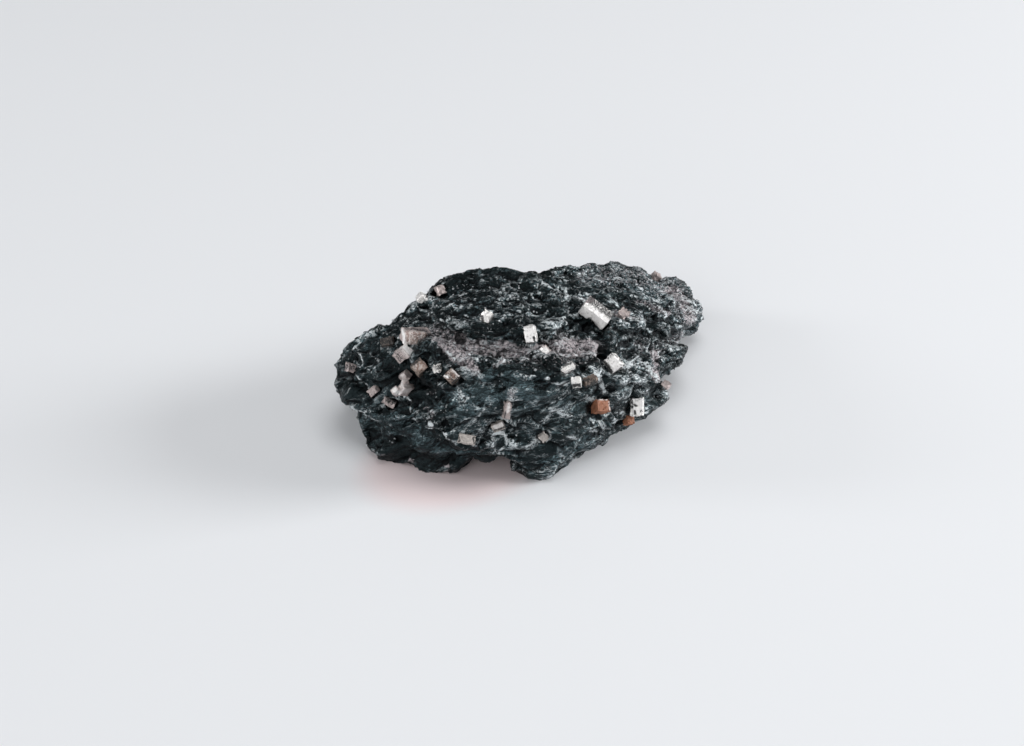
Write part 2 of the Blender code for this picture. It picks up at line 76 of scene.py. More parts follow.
# Marks on the stone. Each runs through points (across, down) of the main view's picture, and is laid on
# the surface that shows there. width is in metres, and so is lift, which raises the surface. pale, dust,
# dark and sheen are strengths of a colour, and a pale under 0 takes pale flecks away. On the rock, dark is
# painted shade in creases, gaps and undersides, and sheen lifts the colour into a painted sheen.
MARK_FADE = 1.3  # how steeply a mark fades towards its width
Mark = namedtuple("Mark", "points width lift pale dust dark sheen", defaults=(0.0, 0.0, 0.0, 0.0, 0.0))
COLOURING = Mark._fields[3:]  # the kinds of change that a material reads
ROCK_MARKS = {
    # Dust and pale haze
    "ledge_dust": Mark(
        [(450, 346), (480, 348), (510, 349), (540, 350), (565, 352), (598, 346)], 0.0034, dust=0.9
    ),
    "ledge_haze": Mark(
        [(452, 352), (480, 357), (510, 359), (560, 358), (590, 356)], 0.0056, dust=0.42, pale=0.08
    ),
    "ledge_haze_right": Mark([(560, 342), (575, 344), (592, 342)], 0.004, dust=0.35),
    "ledge_bright": Mark([(533, 351), (548, 351)], 0.0018, dust=0.6, pale=0.3),
    "crest_dust": Mark([(565, 338), (580, 345), (590, 352)], 0.004, dust=0.65),
    "nose_top_dust": Mark([(437, 333), (450, 338), (458, 346)], 0.004, dust=0.6),
    "lobe_front_dust": Mark([(640, 345), (655, 350), (668, 345), (680, 340)], 0.0034, dust=0.42),
    "lobe_edge_dust": Mark([(657, 358), (658, 368), (655, 376)], 0.003, dust=0.8),
    "lobe_haze": Mark(
        [(600, 275), (630, 275), (660, 285), (685, 305)], 0.012, dust=0.47, pale=0.2, sheen=0.9
    ),
    "lobe_rim_dust": Mark([(655, 270), (665, 275)], 0.0018, dust=0.6, pale=0.3),
    "lobe_patch": Mark([(617, 313), (636, 320)], 0.0022, dust=0.7, pale=0.2),
    "lobe_streak_high": Mark([(640, 300), (655, 308), (668, 313)], 0.0018, dust=0.6, pale=0.2),
    "lobe_streak_rim": Mark([(672, 292), (684, 304), (690, 318)], 0.0025, dust=0.5),
    "hook_dust": Mark([(425, 408), (433, 413), (432, 419)], 0.001, pale=0.4, dust=0.6),
    "ridge": Mark(
        [(437, 340), (448, 349), (460, 357), (467, 362), (475, 372)],
        0.002, lift=0.0003, pale=-0.1, dust=1.0,
    ),
    "foot_dot_tan": Mark([(409, 460), (412, 461)], 0.0007, dust=1.0),
    "foot_dot_right": Mark([(445, 466), (448, 466)], 0.0007, dust=1.0),
    "hollow_rust": Mark([(426, 390), (430, 393)], 0.0012, dust=0.4),
    # Pale lines, dots and clusters
    "ridge_streak": Mark([(446, 352), (451, 355), (455, 359)], 0.0005, lift=0.0002, pale=0.9),
    "slab_right": Mark([(509, 292), (520, 300), (515, 320)], 0.0045, pale=0.35, dust=0.15),
    "slab_specks": Mark([(450, 318), (461, 325)], 0.0025, pale=0.5),
    "slab_dot": Mark([(439, 320), (442, 321)], 0.0007, pale=0.8),
    "top_line": Mark([(430, 307), (445, 308), (456, 304)], 0.0007, pale=0.6),
    "top_curve": Mark([(454, 297), (460, 298), (467, 295)], 0.0006, pale=0.7),
    "top_ridge": Mark([(484, 277), (492, 279)], 0.001, pale=0.5),
    "top_fan": Mark([(556, 291), (566, 296), (577, 300)], 0.0009, lift=0.0003, pale=0.8, dust=0.3),
    "crest_back": Mark([(577, 298), (584, 304), (592, 309)], 0.0011, lift=0.0002, pale=0.5, dust=0.6),
    "nose_line_left": Mark([(352, 367), (358, 375), (367, 385), (372, 392)], 0.0005, lift=0.0001, pale=1.0),
    "nose_line_high": Mark([(354, 344), (360, 355), (363, 365)], 0.0005, lift=0.0001, pale=1.0),
    "nose_line_mid": Mark([(368, 352), (375, 361), (381, 372)], 0.0005, lift=0.0001, pale=1.0),
    "nose_line_low": Mark([(404, 391), (409, 400), (410, 410), (416, 425)], 0.0006, lift=0.0001, pale=1.0),
    "glint_left": Mark([(430, 424), (432, 425)], 0.0006, pale=1.0),
    "glint_right": Mark([(444, 433), (446, 434)], 0.0005, pale=1.0),
    "overhang_edge": Mark(
        [(353, 407), (362, 413), (368, 418), (376, 421)], 0.0009, lift=0.0003, pale=0.9, dust=0.3
    ),
    "overhang_line": Mark(
        [(376, 421), (395, 420), (412, 420), (430, 428), (445, 436), (457, 443)],
        0.0004, lift=0.0001, pale=1.1,
    ),
    "shoulder_fibres": Mark([(457, 384), (460, 392), (464, 401)], 0.0009, pale=0.7, dust=0.2),
    "shoulder_cluster": Mark([(461, 366), (470, 372), (478, 376), (485, 377)], 0.0009, pale=0.65),
    "shoulder_streak": Mark([(480, 385), (487, 383), (494, 384)], 0.0008, pale=0.9),
    "grain_cluster": Mark([(438, 366), (441, 368)], 0.001, pale=0.6),
    "rim_pale": Mark([(492, 366), (500, 364), (508, 365)], 0.001, pale=0.5, dust=0.5),
    "crest_line": Mark([(512, 375), (525, 376), (537, 377), (548, 379)], 0.0004, lift=0.0001, pale=0.9),
    "crest_line_end": Mark([(546, 379), (552, 382), (558, 384), (566, 384)], 0.0007, lift=0.0002, pale=1.0),
    "under_line": Mark([(547, 392), (553, 391), (559, 389)], 0.0005, pale=0.7),
    "under_dash": Mark([(556, 396), (562, 396)], 0.0005, pale=0.8),
    "brink_fibres": Mark([(596, 372), (599, 378), (601, 384), (604, 391)], 0.0013, pale=0.65),
    "brink_dots": Mark([(588, 398), (592, 400)], 0.0014, pale=0.6),
    "valley_front": Mark([(612, 372), (625, 366), (636, 364)], 0.001, pale=0.6),
    "valley_side": Mark([(625, 366), (633, 358), (643, 360)], 0.0016, pale=0.5, dust=0.3),
    "lobe_fibres": Mark([(625, 376), (635, 385), (643, 392)], 0.003, pale=0.4),
    "rim_dots": Mark([(644, 361), (650, 369), (657, 376)], 0.0012, pale=0.9),
    "face_dots_high": Mark([(552, 410), (560, 412), (570, 415)], 0.0012, pale=0.75),
    "face_trail": Mark([(552, 413), (547, 419), (541, 424)], 0.0012, pale=0.6),
    "face_bits": Mark([(549, 436), (545, 441)], 0.001, pale=0.9),
    "face_trail_low": Mark([(541, 437), (533, 444), (524, 450)], 0.0018, pale=0.8),
    "face_chip_low": Mark([(511, 444), (517, 449)], 0.0008, pale=0.95),
    "face_sliver": Mark([(566, 435), (570, 436), (575, 438)], 0.0006, lift=0.0002, pale=1.0),
    "rust_under": Mark([(599, 421), (602, 425), (606, 428)], 0.0008, pale=0.9),
    "rust_under_left": Mark([(591, 432), (597, 430)], 0.0007, pale=0.95),
    "rust_curl": Mark([(609, 427), (613, 420), (616, 412)], 0.0005, pale=0.6),
    "streak_trail": Mark([(512, 392), (510, 400), (507, 408), (506, 417)], 0.002, pale=0.6, dust=0.6),
    "face_line": Mark([(476, 422), (480, 415), (484, 409), (493, 403)], 0.0006, pale=0.7, dust=0.2),
    "ring_left": Mark([(492.5, 437), (492, 445), (495, 452)], 0.0004, pale=0.8),
    "ring_right": Mark([(505, 435), (506.5, 439), (506.5, 444)], 0.0005, pale=1.1),
    "ring_top": Mark([(494, 435), (498, 432), (503, 433)], 0.0008, pale=0.95),
    "ring_low": Mark([(503, 447), (500, 452), (498, 456)], 0.0007, pale=1.0),
    "face_low_dash": Mark([(560, 456), (566, 459)], 0.001, pale=0.8),
    "face_foot": Mark([(512, 471), (531, 472)], 0.0007, pale=0.4),
    "foot_curl": Mark([(378, 431), (384, 439), (395, 442)], 0.0005, lift=0.0002, pale=0.8),
    "foot_flake": Mark([(372, 450), (379, 452), (386, 453)], 0.0006, lift=0.0002, pale=0.7, dust=0.4),
    "foot_dot_left": Mark([(404, 435), (406, 435)], 0.0006, pale=0.8),
    "foot_dot_low": Mark([(394, 459), (396, 459)], 0.0006, pale=0.8),
    "bare_dot": Mark([(621, 412), (623, 413)], 0.0009, pale=0.9),
    # Edges and swells that stand out
    "overhang_top": Mark(
        [(356, 400), (372, 412), (390, 415), (412, 414), (432, 422), (456, 436)], 0.0022, lift=0.0006
    ),
    "brink_top": Mark([(490, 373), (512, 373), (537, 374), (560, 378)], 0.0018, lift=0.0003, pale=-0.6),
    "ledge_fill": Mark([(456, 351), (470, 354), (485, 356), (510, 357), (535, 355)], 0.0034, lift=0.0009),
    "saddle_swell": Mark([(532, 280), (542, 280), (549, 277)], 0.0042, lift=0.0007, pale=-0.5),
    "nose_swell": Mark([(345, 385), (349, 392)], 0.0045, lift=0.0012),
    # Creases, gaps and hollows, most also darkened with painted shade
    "overhang_under": Mark(
        [(360, 419), (378, 427), (398, 427), (418, 427), (440, 441)], 0.0024, lift=-0.0008
    ),
    "brink_under": Mark([(492, 384), (515, 384), (540, 386)], 0.0026, lift=-0.0006),
    "nose_fold_left": Mark([(352, 372), (362, 384), (370, 396)], 0.0016, lift=-0.0006, dark=0.4),
    "nose_fold_high": Mark([(360, 345), (372, 353), (380, 366)], 0.0016, lift=-0.0005, dark=0.4),
    "crest_trench": Mark([(577, 317), (588, 325), (598, 333)], 0.0018, lift=-0.0008, dark=1.0),
    "crest_foot": Mark([(592, 323), (599, 328), (606, 325)], 0.0016, lift=-0.0007, dark=0.8),
    "valley_dark": Mark([(585, 327), (597, 335), (603, 345), (601, 356)], 0.0022, lift=-0.0008, dark=1.0),
    "top_crease_low": Mark([(445, 300), (462, 304), (480, 303), (498, 309)], 0.0013, lift=-0.0005, dark=0.3),
    "top_crease_high": Mark([(470, 283), (490, 285), (512, 284)], 0.0013, lift=-0.0004, dark=0.2),
    "top_crease_right": Mark([(535, 310), (550, 312), (568, 318)], 0.0013, lift=-0.0005, dark=0.3),
    "top_crease_left": Mark([(425, 318), (440, 326), (452, 326)], 0.0014, lift=-0.0005, dark=0.3),
    "lobe_crease_mid": Mark(
        [(612, 305), (632, 305), (650, 318), (672, 322)], 0.0015, lift=-0.0006, dark=0.7
    ),
    "lobe_crease_high": Mark(
        [(600, 283), (622, 287), (645, 297), (662, 304)], 0.0013, lift=-0.0004, dark=0.5
    ),
    "lobe_crease_low": Mark([(625, 330), (645, 334), (662, 334)], 0.0015, lift=-0.0006, dark=0.7),
    "valley_branch": Mark([(604, 338), (620, 343), (635, 348)], 0.0018, lift=-0.0003, dark=0.8),
    "slab_shadow": Mark([(500, 331), (510, 337), (518, 344)], 0.0022, lift=-0.0004, dark=0.9),
    "slab_left_shadow": Mark([(475, 336), (490, 338)], 0.0022, lift=-0.0003, dark=0.7),
    "nose_shadow": Mark([(420, 350), (432, 352), (441, 358)], 0.0026, lift=-0.0003, dark=0.9),
    "nose_gap": Mark([(400, 377), (415, 378), (430, 388)], 0.0022, lift=-0.0003, dark=0.9),
    "white_gap": Mark([(627, 402), (629, 410)], 0.0012, lift=-0.0003, dark=0.9),
    "rust_gap": Mark([(588, 405), (592, 414), (600, 418)], 0.0013, lift=-0.0003, dark=0.9),
    "saddle_notch": Mark([(562, 273), (574, 270), (586, 268)], 0.0045, lift=-0.0022),
    # Shade
    "nose_left_gap": Mark([(385, 385), (380, 372), (392, 372)], 0.0022, dark=0.6),
    "arch_dark": Mark([(470, 458), (485, 460), (500, 462)], 0.003, dark=0.8),
    "arch_shade": Mark([(462, 452), (485, 456), (505, 458)], 0.005, dark=0.5),
    # Silky patches, lifted into a painted sheen
    "face_sheen": Mark([(463, 400), (478, 395), (490, 388)], 0.005, sheen=1.0),
    "foot_sheen": Mark([(380, 424), (400, 422), (415, 428)], 0.005, sheen=0.8),
    "web_sheen": Mark([(445, 452), (462, 454), (470, 450)], 0.004, sheen=0.8),
    "toe_sheen": Mark([(554, 460), (570, 450), (587, 441)], 0.003, sheen=0.8),
    # Calm patches, and painted shade under the foot
    "ring_inside": Mark([(499, 440), (499, 446)], 0.0009, pale=-0.6, dark=0.5),
    "foot_dark": Mark([(372, 446), (400, 452), (430, 458), (462, 452)], 0.008, pale=-0.7, dark=0.35),
    "nose_calm": Mark([(350, 352), (362, 368), (374, 392)], 0.009, pale=-0.15, sheen=0.2),
    "nose_top_calm": Mark([(368, 340), (385, 332)], 0.005, pale=-0.2, sheen=0.3),
    "hollow_calm": Mark([(396, 366), (415, 382), (432, 396)], 0.006, pale=-0.7),
    "crest_calm": Mark([(490, 388), (515, 388), (545, 390)], 0.0045, pale=-0.3, sheen=0.7),
    "face_calm": Mark([(455, 410), (480, 400), (520, 404), (528, 425)], 0.006, pale=-0.15, sheen=0.45),
    "face_right_calm": Mark([(556, 400), (572, 425), (590, 430)], 0.005, pale=-0.2, sheen=0.15),
    "face_low_calm": Mark([(516, 452), (540, 458), (560, 452)], 0.006, pale=-0.3),
    "slab_calm": Mark([(455, 290), (480, 280)], 0.005, pale=-0.4),
    "slab_mid_calm": Mark([(470, 330), (500, 322), (515, 308)], 0.004, pale=-0.4),
    "rim_calm": Mark([(490, 368), (510, 368), (540, 369), (556, 369)], 0.0026, pale=-0.5, dark=0.1),
    "shoulder_calm": Mark([(488, 379), (500, 380), (516, 380)], 0.0022, pale=-0.6),
    "overhang_calm": Mark([(380, 416), (395, 415), (412, 414)], 0.0022, pale=-0.6),
    "foot_calm": Mark([(400, 432), (425, 438), (450, 446)], 0.006, pale=-0.5),
}
# On the crystals, pale paints faces and spots white, a painted reflection and painted glints, and dark
# paints pits, cracks and grime as well as painted shade on low, under and top faces.
CRYSTAL_MARKS = {
    # Crest, slab and valley
    "crest_top": Mark([(592, 299), (601, 306), (611, 314)], 0.0024, dust=0.45, dark=0.5),
    "crest_top_low": Mark([(590, 303), (599, 309), (608, 315)], 0.0009, dark=0.15),
    "crest_corner": Mark([(585, 303), (592, 299)], 0.001, dust=0.8),
    "crest_front": Mark([(580, 311), (590, 321), (601, 329), (604, 322), (592, 312)], 0.003, pale=1.0),
    "slab_grain_top": Mark([(484, 312), (490, 311)], 0.0008, dark=0.8),
    "slab_grain_left": Mark([(481.5, 317), (483, 321)], 0.0006, dark=0.7),
    "slab_notch": Mark([(534, 338), (535.5, 342)], 0.0005, lift=-0.0004, dark=1.0),
    "slab_low": Mark([(527, 343.5), (533, 343)], 0.0004, dark=0.9),
    "slab_front": Mark([(526, 328), (533, 330), (533, 341), (527, 340)], 0.0026, pale=1.0),
    "valley_left": Mark([(602.5, 363), (606, 367.5), (610, 372)], 0.001, lift=-0.0004, dark=1.0),
    "valley_top": Mark([(607, 358), (612, 354)], 0.0007, dark=0.4),
    "valley_right": Mark([(615, 355), (619, 358), (624, 364.5)], 0.0005, dark=0.7),
    "valley_under": Mark([(613, 374), (624, 366.5)], 0.0004, dark=1.0),
    "valley_front": Mark([(611, 358), (617, 364), (613, 370)], 0.0024, pale=1.0),
    "ledge_flat_face": Mark([(539, 352), (547, 350)], 0.0014, pale=1.0),
    # Right front
    "white_left": Mark([(630.3, 400), (631, 404), (631, 407)], 0.0006, lift=-0.0006, dark=1.0),
    "white_pit": Mark([(634.5, 405), (636.5, 406)], 0.0003, lift=-0.0005, dark=1.0),
    "white_low": Mark([(634.5, 411), (635, 414)], 0.0004, lift=-0.0004, dark=1.0),
    "white_corner": Mark([(641.5, 412), (641.5, 415)], 0.0005, lift=-0.0005, dark=1.0),
    "white_front": Mark([(632, 399), (641, 399), (641, 410), (636, 408)], 0.0026, pale=1.0),
    "brink_white_low": Mark([(573.5, 386.5), (581, 385.5)], 0.0009, lift=-0.0003, dark=1.0),
    "brink_grey_back": Mark([(563.5, 366), (571, 362.5)], 0.0006, dark=0.6),
    "brink_grey_low": Mark([(566, 374), (575, 369.5)], 0.0003, dark=0.8),
    "brink_brown_low": Mark([(587, 387), (598, 382)], 0.0006, dark=0.9),
    "brink_brown_face": Mark([(584, 380), (594, 381)], 0.001, dark=0.5),
    "rust_top": Mark([(598, 399.3), (607, 399.5)], 0.0003, pale=0.7),
    "rust_right": Mark([(609, 402), (610, 410)], 0.0003, pale=0.5),
    # Smooth front face
    "streak_pale": Mark([(509, 405), (508, 412)], 0.0006, pale=0.7),
    "streak_dark": Mark([(505, 412), (505, 418)], 0.0004, dark=0.8),
    "streak_left": Mark([(503, 399), (501, 408), (500, 416)], 0.0007, dark=1.0),
    "streak_right": Mark([(511, 398), (509, 408)], 0.0006, dark=1.0),
    "streak_top": Mark([(509, 393), (507, 400)], 0.0011, dark=1.0),
    "face_flat_low": Mark([(494, 431), (504, 427.5)], 0.0004, dark=0.6),
    "face_flat_front": Mark([(496, 427), (503, 424)], 0.001, pale=0.5),
    "foot_flat_left": Mark([(458.5, 436), (459, 442)], 0.0005, lift=-0.0003, dark=0.8),
    "foot_flat_right": Mark([(474, 438), (475, 443)], 0.0005, lift=-0.0003, dark=0.8),
    # Nose
    "nose_top_end": Mark([(427, 343), (430, 336)], 0.0012, lift=-0.0004, dark=1.0),
    "nose_top_dust": Mark([(423, 329), (430, 333)], 0.001, dust=0.8),
    "nose_top_left": Mark([(402, 331), (404, 336), (403, 342)], 0.001, pale=1.0),
    "nose_top_front": Mark([(407, 338), (416, 338), (424, 339)], 0.0026, pale=0.22, sheen=1.0),
    "nose_top_high": Mark([(406, 328), (415, 329), (426, 331)], 0.0009, dust=0.3, dark=0.45),
    "nose_grey_top": Mark([(399, 348), (405, 346)], 0.0005, pale=0.7),
    "nose_grey_front": Mark([(396, 356), (402, 361)], 0.0018, dark=0.3),
    "nose_grey_right": Mark([(406, 347), (412, 353)], 0.0018, pale=1.0),
    "nose_grey_back": Mark([(393.5, 353.5), (401, 347.5)], 0.0004, pale=0.6),
    "brown_face": Mark([(417, 366), (424, 366)], 0.0016, sheen=0.35),
    "brown_left": Mark([(412, 364), (418, 359)], 0.0008, dark=0.7),
    "brown_low": Mark([(419, 376), (427, 369)], 0.0004, dark=0.8),
    "nose_pink_front": Mark([(401, 375), (404, 379)], 0.0012, pale=0.35),
    "nose_pink_top": Mark([(403, 371), (405, 375)], 0.0012, pale=0.7),
    "nose_slab_left": Mark([(394, 390), (398, 393)], 0.001, pale=0.9),
    "nose_slab_front": Mark([(402, 388), (408, 390)], 0.0016, pale=0.35),
    "nose_slab_top": Mark([(402, 384), (410, 386)], 0.0006, pale=0.4),
    "shoulder_face": Mark([(447, 374), (456, 378)], 0.0016, sheen=0.35, dark=0.25),
    "shoulder_glint": Mark([(445, 376), (448, 377)], 0.0005, pale=1.0),
    "shoulder_edge": Mark([(453, 370), (459, 376)], 0.0005, pale=0.6),
    "shoulder_low": Mark([(452, 384), (459, 378)], 0.0005, dark=0.7),
    "grain_face": Mark([(438, 366), (439, 371)], 0.0012, dark=0.5),
    "chip_high_face": Mark([(381, 343), (386, 340), (392, 340)], 0.0022, dark=0.62),
    "chip_high_glint": Mark([(382, 347), (385, 347)], 0.0006, pale=0.9),
    "chip_low_face": Mark([(378, 388), (380, 392)], 0.0008, dark=0.7),
    "chip_right_face": Mark([(388, 400), (396, 402)], 0.001, dark=0.55),
    "tip_face": Mark([(346, 367), (353, 366)], 0.0012, dark=0.45),
}

# Depth of the chips on a crystal's edges and corners
CHIP_DEPTH = 0.0004
CRUMBLED_DEPTH = 0.0006
CRUMBLED = (
    "brink_brown", "brink_grey", "edge_pink", "face_pale", "face_streak", "ledge_flat",
    "lobe_pale", "lobe_rim", "nose_chip_high", "nose_chip_low", "nose_chip_right", "nose_grain",
    "nose_tip", "rim_mauve", "rust_large", "slab_grain", "valley",
)
WORN = {"crystal_" + name: CRUMBLED_DEPTH for name in CRUMBLED}
WORN |= {"crystal_white": 0.0008, "crystal_crest": 0.0002}
GROWN = ("crystal_nose_slab",)  # solids that are several blocks grown together

# Where the rock meets the crystals and the floor, in metres
DRAWN = 0.0006  # a point of the rock this near to a crystal is drawn towards it
SEATED = 0.0002  # and this near, right onto it
SUNK = 0.00006  # how far under the crystal's face it then goes
SETTLED = (0.0003, 0.0021)  # the relief grows from nothing to its full height between these distances
CREEP_REACH = 0.001  # farthest from a crystal that the rock creeps up it
CREEP_SIZE = 0.0012  # length of a tongue of creeping rock
FLOOR_BAND = 0.0006  # height of the rock's lowest part, which stays as the solid has it
TOUCHING = 0.0005  # nothing is sown on rock this near to a crystal
SOWN_FROM = 0.001  # height over the floor from which flakes and grains are sown
SCALES_FROM = 0.0015  # and scales

# Leaves of the schist, in metres
LEAF_WARP = (0.011, 0.006, 0.012)  # length, width and height of a wave in the leaves' edges
LEAF_WARP_DEPTH = 0.0012
LEAF_EDGE = 0.0035  # length over which a leaf's edge wanders in and out
TERRACE_WARP = (0.006, 0.003, 0.01)  # length, width and height of a wave in the terraces
TERRACE_WARP_DEPTH = 0.0016
PACK = 2.6  # thickness of a pack of leaves, in leaves
TERRACE = 1.4  # height of a terrace, in leaves
FRONT_TURN = 0.05  # how far the smooth front face looks to the right, as a share of how far it looks forward
FRONT_FROM = 0.45  # how squarely a surface has to look that way to begin to be smooth
FRONT_OVER = 0.35  # and how much more squarely to be smooth all through
SMOOTHED = 0.65  # share of the small relief that the smooth front face loses
SURROUNDINGS = 8  # rounds of blurring that give a point's surroundings
BULGE = 0.00012  # height over its surroundings at which a point counts as an edge

# Faces of the crystals, in metres
STRIPE = (0.00042, 0.004)  # width and length of a growth stripe
PLATE = (0.0013, 0.0016)  # width and length of a growth plate
FACE_PIT = 0.00035  # width of a pit in a face
FACE_PIT_DEPTH = 0.0008
RIM = 0.00025  # width of the rim on which growth steps die out
RAGGED = (0.0008, 0.0003)  # sizes of coarse and fine raggedness along an edge
CORNER = 0.001  # reach of a corner, where the chips are deeper
GROWN_ROUGH = ((0.0006, 0.00005), (0.0002, 0.00004))  # size and height of coarse and fine roughness
GROWN_SUNK = 0.00002  # how far crystals that have grown together are drawn in

MM = 1000.0  # materials read their places in millimetres

# Lamps: direction to the right, back and up in the main view, then distance and width in metres
Lamp = namedtuple("Lamp", "direction distance size")
LAMPS = {
    "top": Lamp((0.14, 0.10, 0.98), 1.1, 0.75),
    "right": Lamp((0.92, 0.09, 0.33), 1.3, 0.40),
    "left": Lamp((-0.93, 0.05, 0.34), 1.3, 0.28),
    "front": Lamp((-0.5, -0.75, 0.45), 1.1, 1.3),
}
SKY_COLOUR = (0.96, 0.98, 1.0, 1.0)
TABLE_SIZE = 3.0  # half the table's width

# Colours that are the same on every setting
# painted shade in the rock's hollows and creases
HOLLOW_SHADE = (0.003, 0.004, 0.005)
DARK_DUST = (0.11, 0.10, 0.11)
SMOKY_MICA = (0.05, 0.055, 0.06)
# white of a crystal face painted bright: a painted reflection
PAINTED_BRIGHT_FACE = (0.96, 0.94, 0.93)
# pits and grime on a crystal face, and painted shade
FACE_DUST = (0.36, 0.31, 0.31)
GRIME_AND_SHADE = (0.012, 0.015, 0.016)
# copper sparks of painted glitter
COPPER_DARK = (0.38, 0.22, 0.17)
COPPER_SPARK = (1.0, 0.90, 0.86)


# ---------------------------------------------------------------- sizes and colours
class StoneRockSettings(bpy.types.PropertyGroup):
    detail: FloatProperty(
        name="Detail", description="Size of the grid that the relief is laid on", default=0.00037,
        unit="LENGTH",
    )
    leaf: FloatProperty(
        name="Leaf", description="Thickness of one leaf of schist", default=0.0008, unit="LENGTH"
    )
    leaf_step: FloatProperty(
        name="Leaf step", description="How far one leaf stands out from the next", default=0.00016,
        unit="LENGTH",
    )
    lump: FloatVectorProperty(
        name="Lump", description="Length, width and height of a lump", default=(0.0075, 0.0028, 0.0022),
        unit="LENGTH",
    )
    lump_depth: FloatProperty(
        name="Lump depth", description="How far a lump stands out", default=0.00045, unit="LENGTH"
    )
    fold: FloatVectorProperty(
        name="Fold", description="Length, width and height of a fold", default=(0.016, 0.0065, 0.005),
        unit="LENGTH",
    )
    fold_depth: FloatProperty(
        name="Fold depth", description="Depth of the crease beside a fold", default=0.0009, unit="LENGTH"
    )
    wrinkle: FloatVectorProperty(
        name="Wrinkle", description="Length, width and height of a wrinkle",
        default=(0.0045, 0.0012, 0.001), unit="LENGTH",
    )
    wrinkle_depth: FloatProperty(
        name="Wrinkle depth", description="How far a wrinkle stands out", default=0.00018, unit="LENGTH"
    )
    chip: FloatVectorProperty(
        name="Chip", description="Length, width and height of a chip", default=(0.0036, 0.0017, 0.0013),
        unit="LENGTH",
    )
    chip_tilt: FloatProperty(name="Chip tilt", description="Steepest slope of a chip", default=0.30)
    grit: FloatVectorProperty(
        name="Grit", description="Length, width and height of a gritty bump",
        default=(0.0013, 0.0007, 0.0006), unit="LENGTH",
    )
    grit_depth: FloatProperty(
        name="Grit depth", description="How far grit stands out", default=0.00013, unit="LENGTH"
    )
    scoop: FloatVectorProperty(
        name="Scoop", description="Length, width and height of a scoop of the front",
        default=(0.007, 0.005, 0.004), unit="LENGTH",
    )
    scoop_tilt: FloatProperty(name="Scoop tilt", description="Steepest slope of a scoop", default=0.36)
    pit: FloatVectorProperty(
        name="Pit", description="Length, width and height of a pit", default=(0.0032, 0.0012, 0.001),
        unit="LENGTH",
    )
    pit_depth: FloatProperty(
        name="Pit depth", description="Depth of the pits on top", default=0.0011, unit="LENGTH"
    )
    creep: FloatProperty(
        name="Creep", description="How far the rock creeps up a crystal", default=0.0007, unit="LENGTH"
    )
    dark: FloatVectorProperty(
        name="Schist", description="Colour of the schist", default=(0.0032, 0.0078, 0.0090), subtype="COLOR"
    )
    sheen: FloatVectorProperty(
        name="Sheen", description="Colour of its silky leaves", default=(0.108, 0.160, 0.178),
        subtype="COLOR",
    )
    dust: FloatVectorProperty(
        name="Dust", description="Colour of the dust in its hollows", default=(0.50, 0.45, 0.465),
        subtype="COLOR",
    )
    pale: FloatVectorProperty(
        name="Pale mica", description="Colour of its pale fibres", default=(0.70, 0.75, 0.77),
        subtype="COLOR",
    )


class StoneCrystalSettings(bpy.types.PropertyGroup):
    detail: FloatProperty(
        name="Detail", description="Size of the grid on a crystal's faces", default=0.00013, unit="LENGTH"
    )
    bevel: FloatProperty(
        name="Bevel", description="Width of a crystal's edge", default=0.00006, unit="LENGTH"
    )
    step: FloatProperty(name="Step", description="Height of a growth step", default=0.00005, unit="LENGTH")
    silver: FloatVectorProperty(
        name="Silver", description="Bright pyrite", default=(0.93, 0.91, 0.89), subtype="COLOR"
    )
    mauve: FloatVectorProperty(
        name="Mauve", description="Tarnished pyrite", default=(0.56, 0.48, 0.465), subtype="COLOR"
    )
    brown: FloatVectorProperty(
        name="Brown", description="Browned pyrite", default=(0.30, 0.235, 0.20), subtype="COLOR"
    )
    tan: FloatVectorProperty(
        name="Tan", description="Dull crystal faces", default=(0.50, 0.46, 0.43), subtype="COLOR"
    )
    rust: FloatVectorProperty(
        name="Rust", description="Rusted pyrite", default=(0.37, 0.155, 0.085), subtype="COLOR"
    )


class StoneGrainSettings(bpy.types.PropertyGroup):
    scales: IntProperty(name="Scales", description="Dark scales of schist over the rock", default=3200)
    scale_size: FloatVectorProperty(
        name="Scale size", description="Least and greatest width of a scale", size=2,
        default=(0.0005, 0.0014), unit="LENGTH",
    )
    flakes: IntProperty(name="Flakes", description="Mica flakes sown over the rock", default=5000)
    flake_size: FloatVectorProperty(
        name="Flake size", description="Least and greatest width of a flake", size=2,
        default=(0.00016, 0.0005), unit="LENGTH",
    )
    clump: FloatProperty(
        name="Clump", description="Width of a clump of flakes", default=0.004, unit="LENGTH"
    )
    grains: IntProperty(name="Grains", description="Pyrite grains sown over the rock", default=160)
    grain_size: FloatVectorProperty(
        name="Grain size", description="Least and greatest width of a grain", size=2,
        default=(0.00025, 0.00055), unit="LENGTH",
    )
    seed: IntProperty(name="Seed", description="Start of the random choices", default=11)
    mica: FloatVectorProperty(
        name="Mica", description="Colour of the mica flakes", default=(0.53, 0.56, 0.58), subtype="COLOR"
    )


